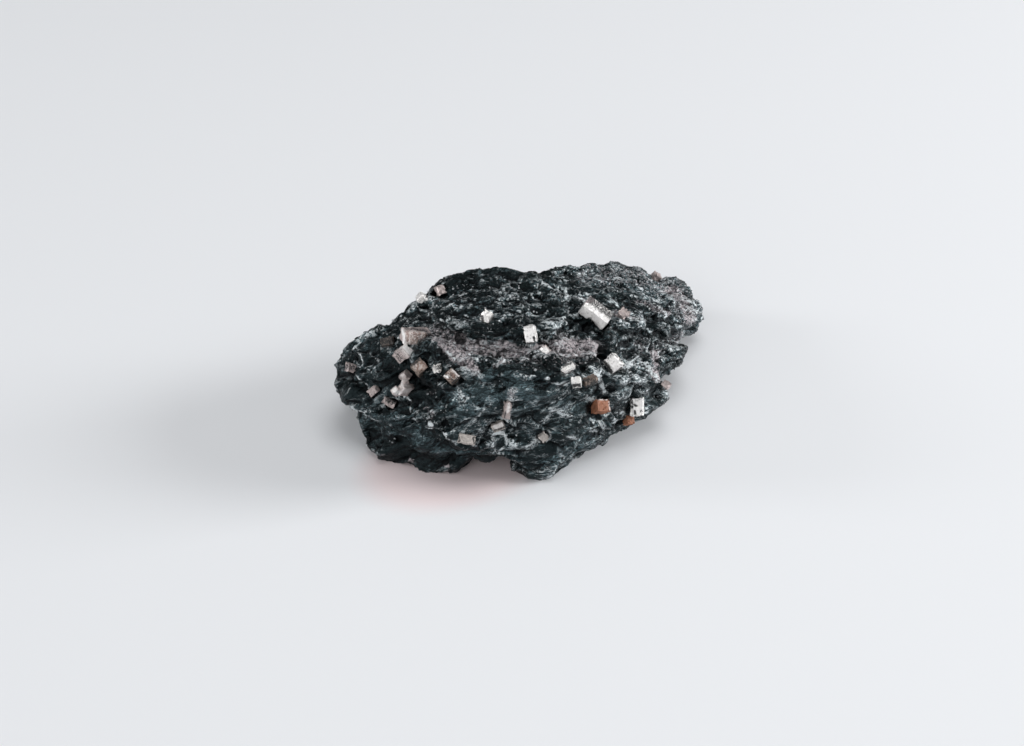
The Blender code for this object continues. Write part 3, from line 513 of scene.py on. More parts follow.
class StoneStageSettings(bpy.types.PropertyGroup):
    aim: FloatVectorProperty(
        name="Aim", description="Point of the floor that the camera looks at",
        default=(-0.00227, 0.01209, 0.0), unit="LENGTH",
    )
    heading: FloatProperty(
        name="Heading", description="Way round the stone to the camera", default=math.radians(-22.0),
        subtype="ANGLE",
    )
    tilt: FloatProperty(
        name="Tilt", description="Height of the camera over the floor", default=math.radians(40.0),
        subtype="ANGLE",
    )
    distance: FloatProperty(
        name="Distance", description="From the aim to the camera", default=0.45, unit="LENGTH"
    )
    lens: FloatProperty(name="Lens", description="Focal length in millimetres", default=65.0)
    sensor: FloatProperty(name="Sensor", description="Sensor width in millimetres", default=36.0)
    floor: FloatVectorProperty(
        name="Floor", description="Colour of the floor", default=(0.80, 0.815, 0.84), subtype="COLOR"
    )
    # painted pinkish shade on the floor close to the stone
    blush: FloatVectorProperty(
        name="Blush", description="Colour of the floor close to the stone", default=(0.80, 0.69, 0.70),
        subtype="COLOR",
    )
    blush_middle: FloatVectorProperty(
        name="Blush middle", description="Middle of the blushing floor", default=(-0.026, -0.012, 0.0),
        unit="LENGTH",
    )
    sky: FloatProperty(name="Sky", description="Strength of the light from all round", default=0.17)
    top_light: FloatProperty(
        name="Top light", description="Power of the large lamp overhead in watts", default=4.7
    )
    right_light: FloatProperty(
        name="Right light", description="Power of the right lamp in watts", default=15.0
    )
    left_light: FloatProperty(name="Left light", description="Power of the left lamp in watts", default=3.8)
    front_light: FloatProperty(
        name="Front light", description="Power of the large front lamp in watts", default=6.0
    )


# ---------------------------------------------------------------- main view
def level_axes(stage):
    """The main view's directions to the right and back, both level."""
    right = Vector((math.cos(stage.heading), math.sin(stage.heading), 0.0))
    return right, Vector((-right.y, right.x, 0.0))


def view_axes(stage):
    """The main view's directions to the right, up and back to the camera."""
    right, behind = level_axes(stage)
    back = -behind * math.cos(stage.tilt) + Vector((0.0, 0.0, math.sin(stage.tilt)))
    return right, back.cross(right), back


def camera_place(stage):
    return Vector(stage.aim) + view_axes(stage)[2] * stage.distance


def sight_line(stage, across, down):
    """The direction from the camera through a point of its picture."""
    right, up, back = view_axes(stage)
    reach = stage.lens / stage.sensor * PICTURE[0]
    return right * (across - PICTURE[0] / 2) + up * (PICTURE[1] / 2 - down) - back * reach


# ---------------------------------------------------------------- meshes
def smooth_step(share):
    share = min(max(share, 0.0), 1.0)
    return share * share * (3.0 - 2.0 * share)


def scaled(place, sizes):
    return Vector([value / size for value, size in zip(place, sizes)])


def merged_copy(node):
    """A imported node's mesh with its loose triangles joined, as a bmesh."""
    work = bmesh.new()
    work.from_mesh(frame["nodes"][node].data)
    bmesh.ops.remove_doubles(work, verts=work.verts, dist=1e-7)
    return work


def mesh_of(name, work):
    mesh = bpy.data.meshes.new(name)
    work.to_mesh(mesh)
    work.free()
    return mesh


def add_piece(mesh, material):
    """Makes a mesh a piece of the stone."""
    piece = bpy.data.objects.new(mesh.name, mesh)
    bpy.context.scene.collection.objects.link(piece)
    mesh.materials.append(material)
    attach(piece, "root")
    return piece


def remesh(obj, voxel):
    """Gives the object an even grid, and keeps its material."""
    material = obj.data.materials[0]
    fuse = obj.modifiers.new("Grid", "REMESH")
    fuse.mode = "VOXEL"
    fuse.voxel_size = voxel
    graph = bpy.context.evaluated_depsgraph_get()
    mesh = bpy.data.meshes.new_from_object(obj.evaluated_get(graph))
    obj.modifiers.clear()
    obj.data = mesh
    mesh.materials.clear()
    mesh.materials.append(material)


def places_of(mesh):
    places = np.empty(len(mesh.vertices) * 3)
    mesh.vertices.foreach_get("co", places)
    return places.reshape(-1, 3)


def normals_of(mesh):
    normals = np.empty(len(mesh.vertices) * 3)
    mesh.vertex_normals.foreach_get("vector", normals)
    return normals.reshape(-1, 3)


def ends_of(mesh):
    ends = np.empty(len(mesh.edges) * 2, np.int64)
    mesh.edges.foreach_get("vertices", ends)
    return ends.reshape(-1, 2)


def move_to(mesh, places):
    mesh.vertices.foreach_set("co", places.ravel())
    mesh.update()


def blurred(values, ends, rounds):
    """Values on the vertices, each averaged with its neighbours some rounds over."""
    count = np.bincount(ends.ravel(), minlength=len(values))[:, None]
    for _ in range(rounds):
        total = np.zeros_like(values)
        np.add.at(total, ends[:, 0], values[ends[:, 1]])
        np.add.at(total, ends[:, 1], values[ends[:, 0]])
        values = (values + total / count) / 2
    return values


def add_attribute(mesh, name, values):
    """Stores a number or a vector for each vertex."""
    kind, field = ("FLOAT", "value") if values.ndim == 1 else ("FLOAT_VECTOR", "vector")
    layer = mesh.attributes.new(name, kind, "POINT")
    layer.data.foreach_set(field, values.astype(np.float32).ravel())


def read_attribute(mesh, name):
    values = np.empty(len(mesh.vertices))
    mesh.attributes[name].data.foreach_get("value", values)
    return values


# ---------------------------------------------------------------- marks
def distance_to_path(places, path):
    """Shortest distance from each place to a chain of points."""
    nearest = np.full(len(places), np.inf)
    for start, end in zip(path, path[1:]):
        start, along = np.array(start), np.array(end - start)
        share = np.clip((places - start) @ along / (along @ along), 0.0, 1.0)
        nearest = np.minimum(nearest, np.linalg.norm(places - start - share[:, None] * along, axis=1))
    return nearest


def lay_marks(stage, marks, tree, places):
    """How much the marks change each place: an array for each kind of change."""
    eye = camera_place(stage)
    changes = {kind: np.zeros(len(places)) for kind in Mark._fields[2:]}
    for mark in marks.values():
        hits = [tree.ray_cast(eye, sight_line(stage, *point))[0] for point in mark.points]
        path = [hit for hit in hits if hit]
        weight = np.clip(MARK_FADE * (1.0 - distance_to_path(places, path) / mark.width), 0.0, 1.0)
        weight = weight * weight * (3.0 - 2.0 * weight)
        for kind in changes:
            changes[kind] += weight * getattr(mark, kind)
    return changes


def crystal_tree():
    """All crystals' solids as one tree for distances."""
    work = bmesh.new()
    for node in CRYSTALS:
        work.from_mesh(frame["nodes"][node].data)
    tree = BVHTree.FromBMesh(work)
    work.free()
    return tree


# ---------------------------------------------------------------- layers of the schist
def bend(past, slope):
    """A drop that starts softly: its height and its slope, a distance past its start."""
    reach = math.hypot(past, DROOP_BEND)
    return slope * (past + reach) / 2, slope * (1.0 + past / reach) / 2


def layer_place(point):
    """A point along, across and up through the layers, and the direction that crosses the layers there."""
    lobe_height, lobe_slope = bend(point.x - LOBE_DROOP[0], LOBE_DROOP[1])
    nose_height, nose_slope = bend(-point.x - NOSE_DROOP[0], NOSE_DROOP[1])
    height = point.z + lobe_height + nose_height - LAYER_SLOPE[0] * point.x - LAYER_SLOPE[1] * point.y
    turned = Matrix.Rotation(-GRAIN_TURN, 3, "Z") @ point
    crossing = Vector((lobe_slope - nose_slope - LAYER_SLOPE[0], -LAYER_SLOPE[1], 1.0)).normalized()
    return Vector((turned.x, turned.y, height)), crossing


def leaf_edges(place, thickness):
    """How far the edge of the leaf at a place stands out, from -1 to 1."""
    warp = noise.noise(scaled(place, LEAF_WARP)) * LEAF_WARP_DEPTH
    level, share = divmod((place.z + warp) / thickness, 1.0)
    spots = [Vector((place.x / LEAF_EDGE, place.y / LEAF_EDGE, (level + up) * 3.7)) for up in (0.0, 1.0)]
    low, high = [noise.noise(spot) for spot in spots]
    return low + (high - low) * smooth_step((share - 0.75) / 0.25)


def leaf_terraces(place, thickness):
    """Moves a point on a layer's flat towards the nearest leaf's face, from -0.5 to 0.5 of a leaf."""
    warp = noise.turbulence(scaled(place, TERRACE_WARP), 3, False) * TERRACE_WARP_DEPTH
    share = ((place.z + warp) / thickness) % 1.0
    return smooth_step((share - 0.35) / 0.3) - share


def chips(place, sizes):
    """Height of chipped facets, each with a slope of its own, in chips."""
    spot = scaled(place, sizes)
    centre = noise.voronoi(spot)[1][0]
    slope = noise.cell_vector(centre * 13.1) - Vector((0.5, 0.5, 0.5))
    return (spot - centre).dot(slope) * 2.0


def relief(rock, place, through, front):
    """How far the rock stands out, and how far it moves across its layers.

    through is how squarely the surface faces across the layers. front is how far it is the smooth front
    face."""
    rough = 1.0 - SMOOTHED * front
    edge = leaf_edges(place, rock.leaf) * rough + 1.6 * leaf_edges(place, rock.leaf * PACK)
    lump = noise.noise(scaled(place, rock.lump))
    fold = min(abs(noise.noise(scaled(place, rock.fold))) * 3.0, 1.0) - 0.6
    wrinkle = noise.noise(scaled(place, rock.wrinkle)) + 0.4 * noise.noise(scaled(place, rock.wrinkle) * 1.9)
    grit = noise.noise(scaled(place, rock.grit))
    pit = max(noise.noise(scaled(place, rock.pit)) - 0.2, 0.0)
    outward = (
        edge * rock.leaf_step * (1.0 - 0.65 * through)
        + lump * rock.lump_depth * rough
        + fold * rock.fold_depth
        + wrinkle * rock.wrinkle_depth * rough
        + chips(place, rock.chip) * rock.chip_tilt * rock.chip[1] * rough
        + grit * rock.grit_depth * rough
        + chips(place, rock.scoop) * rock.scoop_tilt * rock.scoop[2] * front
        - pit * 2.0 * rock.pit_depth * rough
    )
    return outward, leaf_terraces(place, rock.leaf * TERRACE) * rock.leaf * 1.1 * through


# ---------------------------------------------------------------- host rock
def close_on_crystals(place, tree):
    """Draws a point of the rock onto a crystal that it nearly touches, so that it looks grown in."""
    near, normal, _, distance = tree.find_nearest(place, DRAWN)
    if near is None or (place - near).dot(normal) <= 0.0:
        return place
    pull = 1.0 - smooth_step((distance - SEATED) / (DRAWN - SEATED))
    return place.lerp(near - normal * SUNK, pull)


def shape_rock(rock, stage, mesh):
    """Gives the rock its fine relief and stores what its material reads."""
    tree = BVHTree.FromPolygons([v.co for v in mesh.vertices], [p.vertices for p in mesh.polygons])
    crystals = crystal_tree()
    places = places_of(mesh)
    changes = lay_marks(stage, ROCK_MARKS, tree, places)
    right, behind = level_axes(stage)
    forward = -(behind + FRONT_TURN * right).normalized()
    layers = np.empty((len(places), 3))
    crossings = np.empty((len(places), 3))
    fronts = np.empty(len(places))
    moved = np.empty((len(places), 3))
    for index, vertex in enumerate(mesh.vertices):
        point, normal = vertex.co, vertex.normal
        place, crossing = layer_place(point)
        layers[index] = place * MM
        crossings[index] = crossing
        through = normal.dot(crossing) ** 2
        front = smooth_step((normal.dot(forward) - FRONT_FROM) / FRONT_OVER)
        fronts[index] = front
        outward, across = relief(rock, place, through, front)
        distance = crystals.find_nearest(point, SETTLED[1])[3]
        if distance is not None:
            calm = smooth_step((distance - SETTLED[0]) / (SETTLED[1] - SETTLED[0]))
            outward, across = min(outward, outward * calm), across * calm
            creep = max(noise.noise(point / CREEP_SIZE), 0.0) * (1.0 - smooth_step(distance / CREEP_REACH))
            outward += creep * rock.creep
        target = point + normal * (outward + changes["lift"][index]) + crossing * across
        target = close_on_crystals(target, crystals)
        target.z = max(target.z, 0.0) if point.z > FLOOR_BAND else point.z
        moved[index] = target
    move_to(mesh, moved)
    bulge = np.einsum("ij,ij->i", moved - blurred(moved, ends_of(mesh), SURROUNDINGS), normals_of(mesh))
    add_attribute(mesh, "layers", layers)
    add_attribute(mesh, "crossing", crossings)
    add_attribute(mesh, "front", fronts)
    add_attribute(mesh, "edge", np.clip(bulge / BULGE, -1.0, 1.0))
    for kind in COLOURING:
        add_attribute(mesh, kind, np.clip(changes[kind], -1.0, 1.0))


# ---------------------------------------------------------------- scales, flakes and grains
def small_shape(work):
    """A small shape's points and faces, to be copied many times."""
    points = np.array([vertex.co[:] for vertex in work.verts])
    faces = [[vertex.index for vertex in face.verts] for face in work.faces]
    work.free()
    return points, faces


def flat_flake(thickness):
    """A six-sided flake of unit width."""
    work = bmesh.new()
    bmesh.ops.create_cone(work, cap_ends=True, segments=6, radius1=0.5, radius2=0.4, depth=thickness)
    return small_shape(work)


def small_cube():
    work = bmesh.new()
    bmesh.ops.create_cube(work, size=1.0)
    return small_shape(work)


def sow(name, rock, shape, count, odds, widths, dice, length, along_layers, wobble, spin):
    """Copies a small shape onto the rock where the odds let it, joined in one mesh.

    length stretches it along the grain, along_layers lays it flat in the layers instead of on the surface,
    and wobble and spin turn it at random. It gives the mesh and, for each of its vertices, the rock's vertex
    below and its copy's random tone from 0 to 1."""
    points, faces = shape
    spots = dice.choice(len(odds), count, p=odds / odds.sum())
    normals = normals_of(rock)[spots]
    crossings = np.empty(len(rock.vertices) * 3)
    rock.attributes["crossing"].data.foreach_get("vector", crossings)
    up = normals * (1.0 - along_layers) + crossings.reshape(-1, 3)[spots] * along_layers
    up += dice.normal(0.0, wobble, up.shape)
    up /= np.linalg.norm(up, axis=1)[:, None]
    grain = np.array((math.cos(GRAIN_TURN), math.sin(GRAIN_TURN), 0.0)) + dice.normal(0.0, spin, up.shape)
    side = np.cross(up, grain)
    side /= np.linalg.norm(side, axis=1)[:, None]
    along = np.cross(side, up)
    size = widths[0] + (widths[1] - widths[0]) * dice.random(count) ** 2.0
    stretch = np.array((length, 1.0, 1.0))
    local = points[None] * stretch * size[:, None, None]
    turned = np.einsum("nki,nij->nkj", local, np.stack((along, side, up), axis=1))
    start = places_of(rock)[spots] + dice.normal(0.0, 0.0001, up.shape) - normals * 0.05 * size[:, None]
    places = (turned + start[:, None]).reshape(-1, 3)
    starts = range(0, len(places), len(points))
    joined = [[corner + start for corner in face] for start in starts for face in faces]
    mesh = bpy.data.meshes.new(name)
    mesh.from_pydata(places, [], joined)
    return mesh, np.repeat(spots, len(points)), np.repeat(dice.random(count), len(points))


def off_crystals(rock):
    """1 for each vertex of the rock that no crystal covers or touches, else 0."""
    tree = crystal_tree()
    return np.array([0.0 if tree.find_nearest(vertex.co, TOUCHING)[0] else 1.0 for vertex in rock.vertices])


# ---------------------------------------------------------------- crystals
def crystal_block(node):
    """The block of a crystal's solid: its turn as a matrix, its centre and its size."""
    work = merged_copy(node)
    bmesh.ops.dissolve_limit(work, angle_limit=math.radians(1.0), verts=work.verts, edges=work.edges)
    faces = sorted(work.faces, key=lambda face: -face.calc_area())
    first = faces[0].normal.copy()
    second = next(face.normal.copy() for face in faces if abs(face.normal.dot(first)) < 0.02)
    turn = Matrix((first, second, first.cross(second))).transposed()
    low, high = Vector(), Vector()
    for axis in range(3):
        way = turn.col[axis]
        low[axis] = next(face.verts[0].co.dot(way) for face in faces if face.normal.dot(way) < -0.999)
        high[axis] = next(face.verts[0].co.dot(way) for face in faces if face.normal.dot(way) > 0.999)
    work.free()
    return turn, turn @ ((low + high) / 2), high - low


def growth_steps(settings, point, axis, seed):
    """How far a point of a crystal's face stands out: stripes along one edge, plates and pits."""
    along, across = (axis + 1) % 3, (axis + 2) % 3
    stripe = noise.noise(Vector((point[across] / STRIPE[0], point[along] / STRIPE[1], seed + axis)))
    plate = noise.noise(Vector((point[across] / PLATE[0], point[along] / PLATE[1], seed * 2.0 + axis)))
    step = smooth_step((plate - 0.1) / 0.06) + 0.6 * smooth_step((plate + 0.25) / 0.05)
    pit = max(noise.noise(Vector((point[across], point[along], seed)) / FACE_PIT) - 0.4, 0.0)
    return settings.step * (stripe - 1.6 * step) - pit * FACE_PIT_DEPTH


def block_mesh(settings, name, size):
    """A crystal's block as a grid with narrow edges, about its centre."""
    work = bmesh.new()
    bmesh.ops.create_cube(work, size=1.0, matrix=Matrix.Diagonal((*size, 1.0)))
    bmesh.ops.bevel(
        work, geom=work.edges[:], offset=settings.bevel, affect="EDGES", segments=1, profile=0.5, material=-1
    )
    for axis in range(3):
        along = [e for e in work.edges if abs((e.verts[0].co - e.verts[1].co)[axis]) > size[axis] * 0.8]
        cuts = max(int(size[axis] / settings.detail), 4)
        bmesh.ops.subdivide_edges(work, edges=along, cuts=cuts, use_grid_fill=True)
    return mesh_of(name, work)


def shape_block(settings, mesh, size, worn, seed):
    """Gives a block its growth steps and its chipped edges and corners."""
    half = size / 2
    for vertex in mesh.vertices:
        point = vertex.co.copy()
        gaps = [half[axis] - abs(point[axis]) for axis in range(3)]
        axis = gaps.index(min(gaps))
        rest = sorted(gaps)
        rim = smooth_step(rest[1] / RIM)
        vertex.co[axis] += math.copysign(1.0, point[axis]) * growth_steps(settings, point, axis, seed) * rim
        ragged = noise.noise(point / RAGGED[0] + Vector((seed, 0.0, 0.0)))
        ragged += 0.4 * noise.noise(point / RAGGED[1])
        edge = max(1.0 - (rest[0] + rest[1]) / (worn * 1.3), 0.0)
        corner = 1.0 + max(1.0 - rest[2] / CORNER, 0.0)
        vertex.co -= point.normalized() * max(ragged + 0.05, 0.0) * edge * corner * worn


def shape_grown(settings, mesh, seed):
    """Roughens blocks that have grown together."""
    places = places_of(mesh)
    (rough_size, rough_height), (fine_size, fine_height) = GROWN_ROUGH
    rough = [noise.noise(Vector(place) / rough_size + Vector((seed, 0, 0))) for place in places]
    fine = [noise.noise(Vector(place) / fine_size) for place in places]
    outward = np.array(rough) * rough_height + np.array(fine) * fine_height - GROWN_SUNK
    move_to(mesh, places + normals_of(mesh) * outward[:, None])


def leaning(stage, normals, lean):
    """How the growth steps of the upright faces towards the front lean them upwards, as vectors."""
    right, behind = level_axes(stage)
    towards = np.array((-behind - 0.8 * right).normalized())
    upright = 1.0 - np.clip(normals[:, 2], 0.0, 1.0)
    facing = np.clip(normals @ towards * 1.6, 0.0, 1.0) * upright**3
    return np.outer(facing * lean, (0.0, 0.0, 1.0))


def make_crystals(context, finish, metallic, roughness, tarnish, glitter, lean):
    """Remakes the crystals of one finish."""
    settings, stage = context.scene.stone_crystals, context.scene.stone_stage
    colour = getattr(settings, finish)
    material = pyrite_material(finish + "_pyrite", colour, metallic, roughness, tarnish, glitter)
    tree = crystal_tree()
    nodes = [node for node in CRYSTALS if SLOT[node] == finish]
    if not nodes:
        raise RuntimeError(f"no crystal has the finish {finish}")
    for node in nodes:
        name, seed = node.replace("crystal", "pyrite"), CRYSTALS.index(node) * 7.3
        turn, centre, size = crystal_block(node)
        place = Matrix.Translation(centre) @ turn.to_4x4()
        if node in GROWN:
            piece = add_piece(mesh_of(name, merged_copy(node)), material)
            remesh(piece, settings.detail)
            mesh = piece.data
            mesh.transform(place.inverted())
            shape_grown(settings, mesh, seed)
        else:
            mesh = block_mesh(settings, name, size)
            shape_block(settings, mesh, size, WORN.get(node, CHIP_DEPTH), seed)
            piece = add_piece(mesh, material)
        add_attribute(mesh, "local", places_of(mesh) * MM + seed)
        mesh.transform(place)
        places, normals = places_of(mesh), normals_of(mesh)
        changes = lay_marks(stage, CRYSTAL_MARKS, tree, places)
        move_to(mesh, places + normals * changes["lift"][:, None])
        add_attribute(mesh, "lean", leaning(stage, normals, lean))
        for kind in COLOURING:
            add_attribute(mesh, kind, np.clip(changes[kind], 0.0, 1.0))
        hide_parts(node)


# ---------------------------------------------------------------- materials
class Wire:
    """A shader socket. Sums of wires and numbers add their Math nodes."""

    def __init__(self, paint, socket):
        self.paint = paint
        self.socket = socket

    def sum(self, operation, first, second):
        return self.paint.node("ShaderNodeMath", {"operation": operation}, {0: first, 1: second})

    def __add__(self, other):
        return self.sum("ADD", self, other)

    def __radd__(self, other):
        return self.sum("ADD", other, self)

    def __sub__(self, other):
        return self.sum("SUBTRACT", self, other)

    def __rsub__(self, other):
        return self.sum("SUBTRACT", other, self)

    def __mul__(self, other):
        return self.sum("MULTIPLY", self, other)

    def __rmul__(self, other):
        return self.sum("MULTIPLY", other, self)

    def __or__(self, other):
        return self.sum("MAXIMUM", self, other)


class Paint:
    """One material and the nodes that feed its shader."""

    def __init__(self, name):
        self.material = bpy.data.materials.new(name)
        self.material.use_nodes = True
        self.tree = self.material.node_tree
        self.shader = self.tree.nodes["Principled BSDF"]

    def node(self, kind, settings, inputs, output=0):
        """Adds a node: its settings first, then the values or wires of its sockets."""
        made = self.tree.nodes.new(kind)
        for name, value in settings.items():
            setattr(made, name, value)
        for name, value in inputs.items():
            self.plug(made.inputs[name], value)
        return Wire(self, made.outputs[output])

    def plug(self, socket, value):
        if isinstance(value, Wire):
            self.tree.links.new(value.socket, socket)
        elif socket.type == "RGBA":
            socket.default_value = (*value, 1.0)
        else:
            socket.default_value = value

    def feed(self, name, value):
        self.plug(self.shader.inputs[name], value)

    def number(self, name):
        return self.node("ShaderNodeAttribute", {"attribute_name": name}, {}, 2)

    def vector(self, name):
        return self.node("ShaderNodeAttribute", {"attribute_name": name}, {}, 1)

    def vectors(self, operation, first, second):
        return self.node("ShaderNodeVectorMath", {"operation": operation}, {0: first, 1: second})

    def noise(self, vector, factors, detail=4.0, roughness=0.6, warp=0.0):
        """Noise from 0 to 1 on a stretched vector."""
        inputs = {"Vector": self.vectors("MULTIPLY", vector, factors), "Scale": 1.0, "Detail": detail}
        inputs |= {"Roughness": roughness, "Distortion": warp}
        return self.node("ShaderNodeTexNoise", {}, inputs)

    def cells(self, vector, factors):
        """A random colour for each cell of a stretched vector."""
        inputs = {"Vector": self.vectors("MULTIPLY", vector, factors), "Scale": 1.0}
        return self.node("ShaderNodeTexVoronoi", {}, inputs, 1)

    def facets(self, cells, amount):
        """The surface's normal, turned another way in each cell."""
        normal = self.node("ShaderNodeNewGeometry", {}, {}, 1)
        turn = self.vectors("SUBTRACT", cells, (0.5, 0.5, 0.5))
        turn = self.node("ShaderNodeVectorMath", {"operation": "SCALE"}, {0: turn, 3: amount})
        return self.vectors("NORMALIZE", self.vectors("ADD", normal, turn), (0.0, 0.0, 0.0))

    def between(self, value, low, high):
        """0 under low, 1 over high and smooth in between."""
        inputs = {0: value, 1: low, 2: high, 3: 0.0, 4: 1.0}
        return self.node("ShaderNodeMapRange", {"interpolation_type": "SMOOTHSTEP"}, inputs)

    def mix(self, factor, first, second):
        inputs = {0: factor, 6: first, 7: second}
        return self.node("ShaderNodeMix", {"data_type": "RGBA", "clamp_factor": True}, inputs, 2)

    def veins(self, noise, far, near):
        """Thin lines where a noise crosses its middle: 0 at far from it and 1 at near."""
        away = self.node("ShaderNodeMath", {"operation": "ABSOLUTE"}, {0: noise - 0.5})
        return self.between(away, far, near)

    def bump(self, height, distance, under):
        inputs = {"Height": height, "Distance": distance, "Strength": 1.0, "Normal": under}
        return self.node("ShaderNodeBump", {}, inputs)


def schist_material(rock):
    """Silky black-green leaves with paler fibres, dust in hollows and flecks of mica, with painted shade in
    its hollows and creases and a painted sheen.
    """
    paint = Paint("schist_leaves")
    layers = paint.vector("layers")
    edge, pale, dust = paint.number("edge"), paint.number("pale"), paint.number("dust")
    dark, sheen, front = paint.number("dark"), paint.number("sheen"), paint.number("front")
    # noises stretched along the layers
    patches = paint.noise(layers, (0.10, 0.22, 0.30), 3.0, 0.5)
    clumps = paint.noise(layers, (0.30, 0.6, 0.7), 3.0, 0.6)
    flecks = paint.noise(layers, (1.4, 2.6, 3.0), 5.0, 0.75, 0.2)
    fibres = flecks + (paint.noise(layers, (0.5, 2.8, 3.6), 6.0, 0.75, 0.3) - flecks) * front
    grit = paint.noise(layers, (2.4, 4.0, 4.2), 2.0, 0.6)
    flow = paint.noise(layers, (0.14, 0.70, 0.85), 4.0, 0.6, 0.6)
    finer = paint.noise(layers, (0.28, 1.6, 1.9), 4.0, 0.6, 0.5)
    leaves = paint.cells(layers, (1.9, 3.4, 3.6))
    ground = 1.2 * (patches - 0.5) + 1.2 * (clumps - 0.5)
    # silky leaves, lifted on the front face and under the sheen marks: a painted sheen
    silk = paint.between(fibres + 0.6 * ground + 0.12 * sheen + 0.12 * pale, 0.46, 0.72)
    silk = silk * (0.3 + 0.7 * paint.between(leaves, 0.3, 0.7))
    silk = silk + (0.05 * front + 0.12 * sheen) * (0.5 + fibres)
    colour = paint.mix(silk, tuple(rock.dark), tuple(rock.sheen))
    # dust
    powder = 0.75 * dust + 1.5 * (grit - 0.5) + 0.6 * (fibres - 0.5) + 0.6 * (clumps - 0.5)
    powder = paint.between(powder, 0.30, 0.66)
    powder = powder * (1.0 - 0.85 * dark)
    light = paint.between(flecks + 0.6 * (leaves - 0.5), 0.38, 0.60)
    colour = paint.mix(powder, colour, paint.mix(light, DARK_DUST, tuple(rock.dust)))
    # pale mica: threads, scratches on the front face, dashes, specks and the marks. The dashes and specks
    # also stand for the glints of its flakes, painted glints
    thread = paint.veins(flow, 0.014, 0.003) * paint.between(clumps + 0.25 * pale + 0.15 * edge, 0.46, 0.64)
    scratch = paint.veins(finer, 0.018, 0.004) * paint.between(clumps + 0.3 * pale, 0.42, 0.58) * front
    rich = paint.between(ground + 0.08 * edge + 0.30 * pale - 0.06 * front, 0.03, 0.27)
    dash = paint.between(leaves + 0.04 * edge + 0.05 * pale, 0.61, 0.70)
    speck = paint.between(grit + 0.08 * edge + 0.06 * pale, 0.58, 0.68)
    mark = paint.between(pale + 0.9 * (grit - 0.5) + 0.5 * (fibres - 0.5), 0.46, 0.70)
    bright = mark * 0.95 | thread * 0.7 | scratch * 0.6 | (dash * 0.9 | speck * 0.6) * rich
    bright = bright * (1.0 - dark)
    colour = paint.mix(bright, colour, tuple(rock.pale))
    # painted shade: darker in hollows and creases, and where the marks' dark falls
    hollow_shade = paint.between(0.8 * dark - 0.9 * edge, 0.2, 0.9)
    colour = paint.mix(hollow_shade * 0.85, colour, HOLLOW_SHADE)
    paint.feed("Base Color", colour)
    paint.feed("Metallic", 0.8 - 0.75 * (powder | bright))
    paint.feed("Roughness", 0.20 + 0.22 * fibres + 0.35 * powder - 0.05 * sheen)
    paint.feed("IOR", 1.5)
    tilted = paint.facets(leaves, 0.6 - 0.25 * front)
    fine = paint.bump(grit, 0.00012, tilted)
    paint.feed("Normal", paint.bump(fibres, 0.00020, fine))
    return paint.material


def mica_material(grains):
    """Thin pale flakes, some bright and some smoky."""
    paint = Paint("mica_flakes")
    tone = paint.number("tone")
    grain = paint.noise(paint.node("ShaderNodeTexCoord", {}, {}, 3), (4000.0, 4000.0, 4000.0), 2.0)
    shade = paint.mix(paint.between(tone, 0.2, 0.9), SMOKY_MICA, tuple(grains.mica))
    paint.feed("Base Color", shade)
    paint.feed("Metallic", 0.55 * tone)
    paint.feed("Roughness", 0.2 + 0.3 * grain)
    return paint.material


def pyrite_material(name, colour, metallic, roughness, tarnish, glitter):
    """Crystal faces with dark pits and grime, mottled by tarnish, that glitter from small plates. Marks
    paint some faces white as a painted reflection, some plates as painted glitter and some faces with
    painted shade.
    """
    paint = Paint(name)
    local = paint.vector("local")
    pale, dust = paint.number("pale"), paint.number("dust")
    dark, sheen = paint.number("dark"), paint.number("sheen")
    stripes = paint.noise(local, (0.7, 0.7, 6.0), 3.0, 0.6)
    mottle = paint.noise(local, (1.1, 1.1, 1.1), 4.0, 0.65)
    grain = paint.noise(local, (3.2, 3.2, 3.2), 4.0, 0.7)
    plates = paint.cells(local, (2.4, 2.4, 2.4))
    twinkle = paint.between(plates, 0.35, 0.68)
    # tarnish mottles the colour, and glitter darkens some plates, a painted glitter
    dull = paint.between(mottle + 0.2 * (stripes - 0.5), 0.40, 0.66) * tarnish | (1.0 - twinkle) * glitter
    shade = paint.mix(dull, tuple(colour), tuple(v * 0.45 for v in colour))
    # sheen paints bright and dark copper sparks, a painted glitter
    sparks = paint.mix(paint.between(plates, 0.45, 0.58), COPPER_DARK, COPPER_SPARK)
    shade = paint.mix(sheen, shade, sparks)
    # pale paints a face white: a painted reflection
    shade = paint.mix(pale, shade, PAINTED_BRIGHT_FACE)
    shade = paint.mix(paint.between(dust + grain - 0.5, 0.3, 0.7), shade, FACE_DUST)
    # dark spots: grime and pits from the grain, and painted shade where the marks' dark falls
    spots = paint.between(grain + 0.3 * (stripes - 0.5) + 0.35 * dark, 0.58, 0.66)
    spots = spots | paint.between(dark + 0.5 * (grain - 0.5), 0.65, 0.95)
    shade = paint.mix(spots * 0.92, shade, GRIME_AND_SHADE)
    paint.feed("Base Color", shade)
    paint.feed("Metallic", metallic * (1.0 - spots) * (1.0 - 0.6 * (pale | sheen)))
    paint.feed("Roughness", roughness + 0.2 * mottle + 0.3 * spots - 0.08 * pale)
    tilted = paint.facets(plates, (glitter + 0.9 * sheen) * (1.0 - 0.7 * pale))
    stepped = paint.vectors("ADD", tilted, paint.vector("lean"))
    paint.feed("Normal", paint.bump(grain, 0.00005, paint.vectors("NORMALIZE", stepped, (0.0, 0.0, 0.0))))
    return paint.material


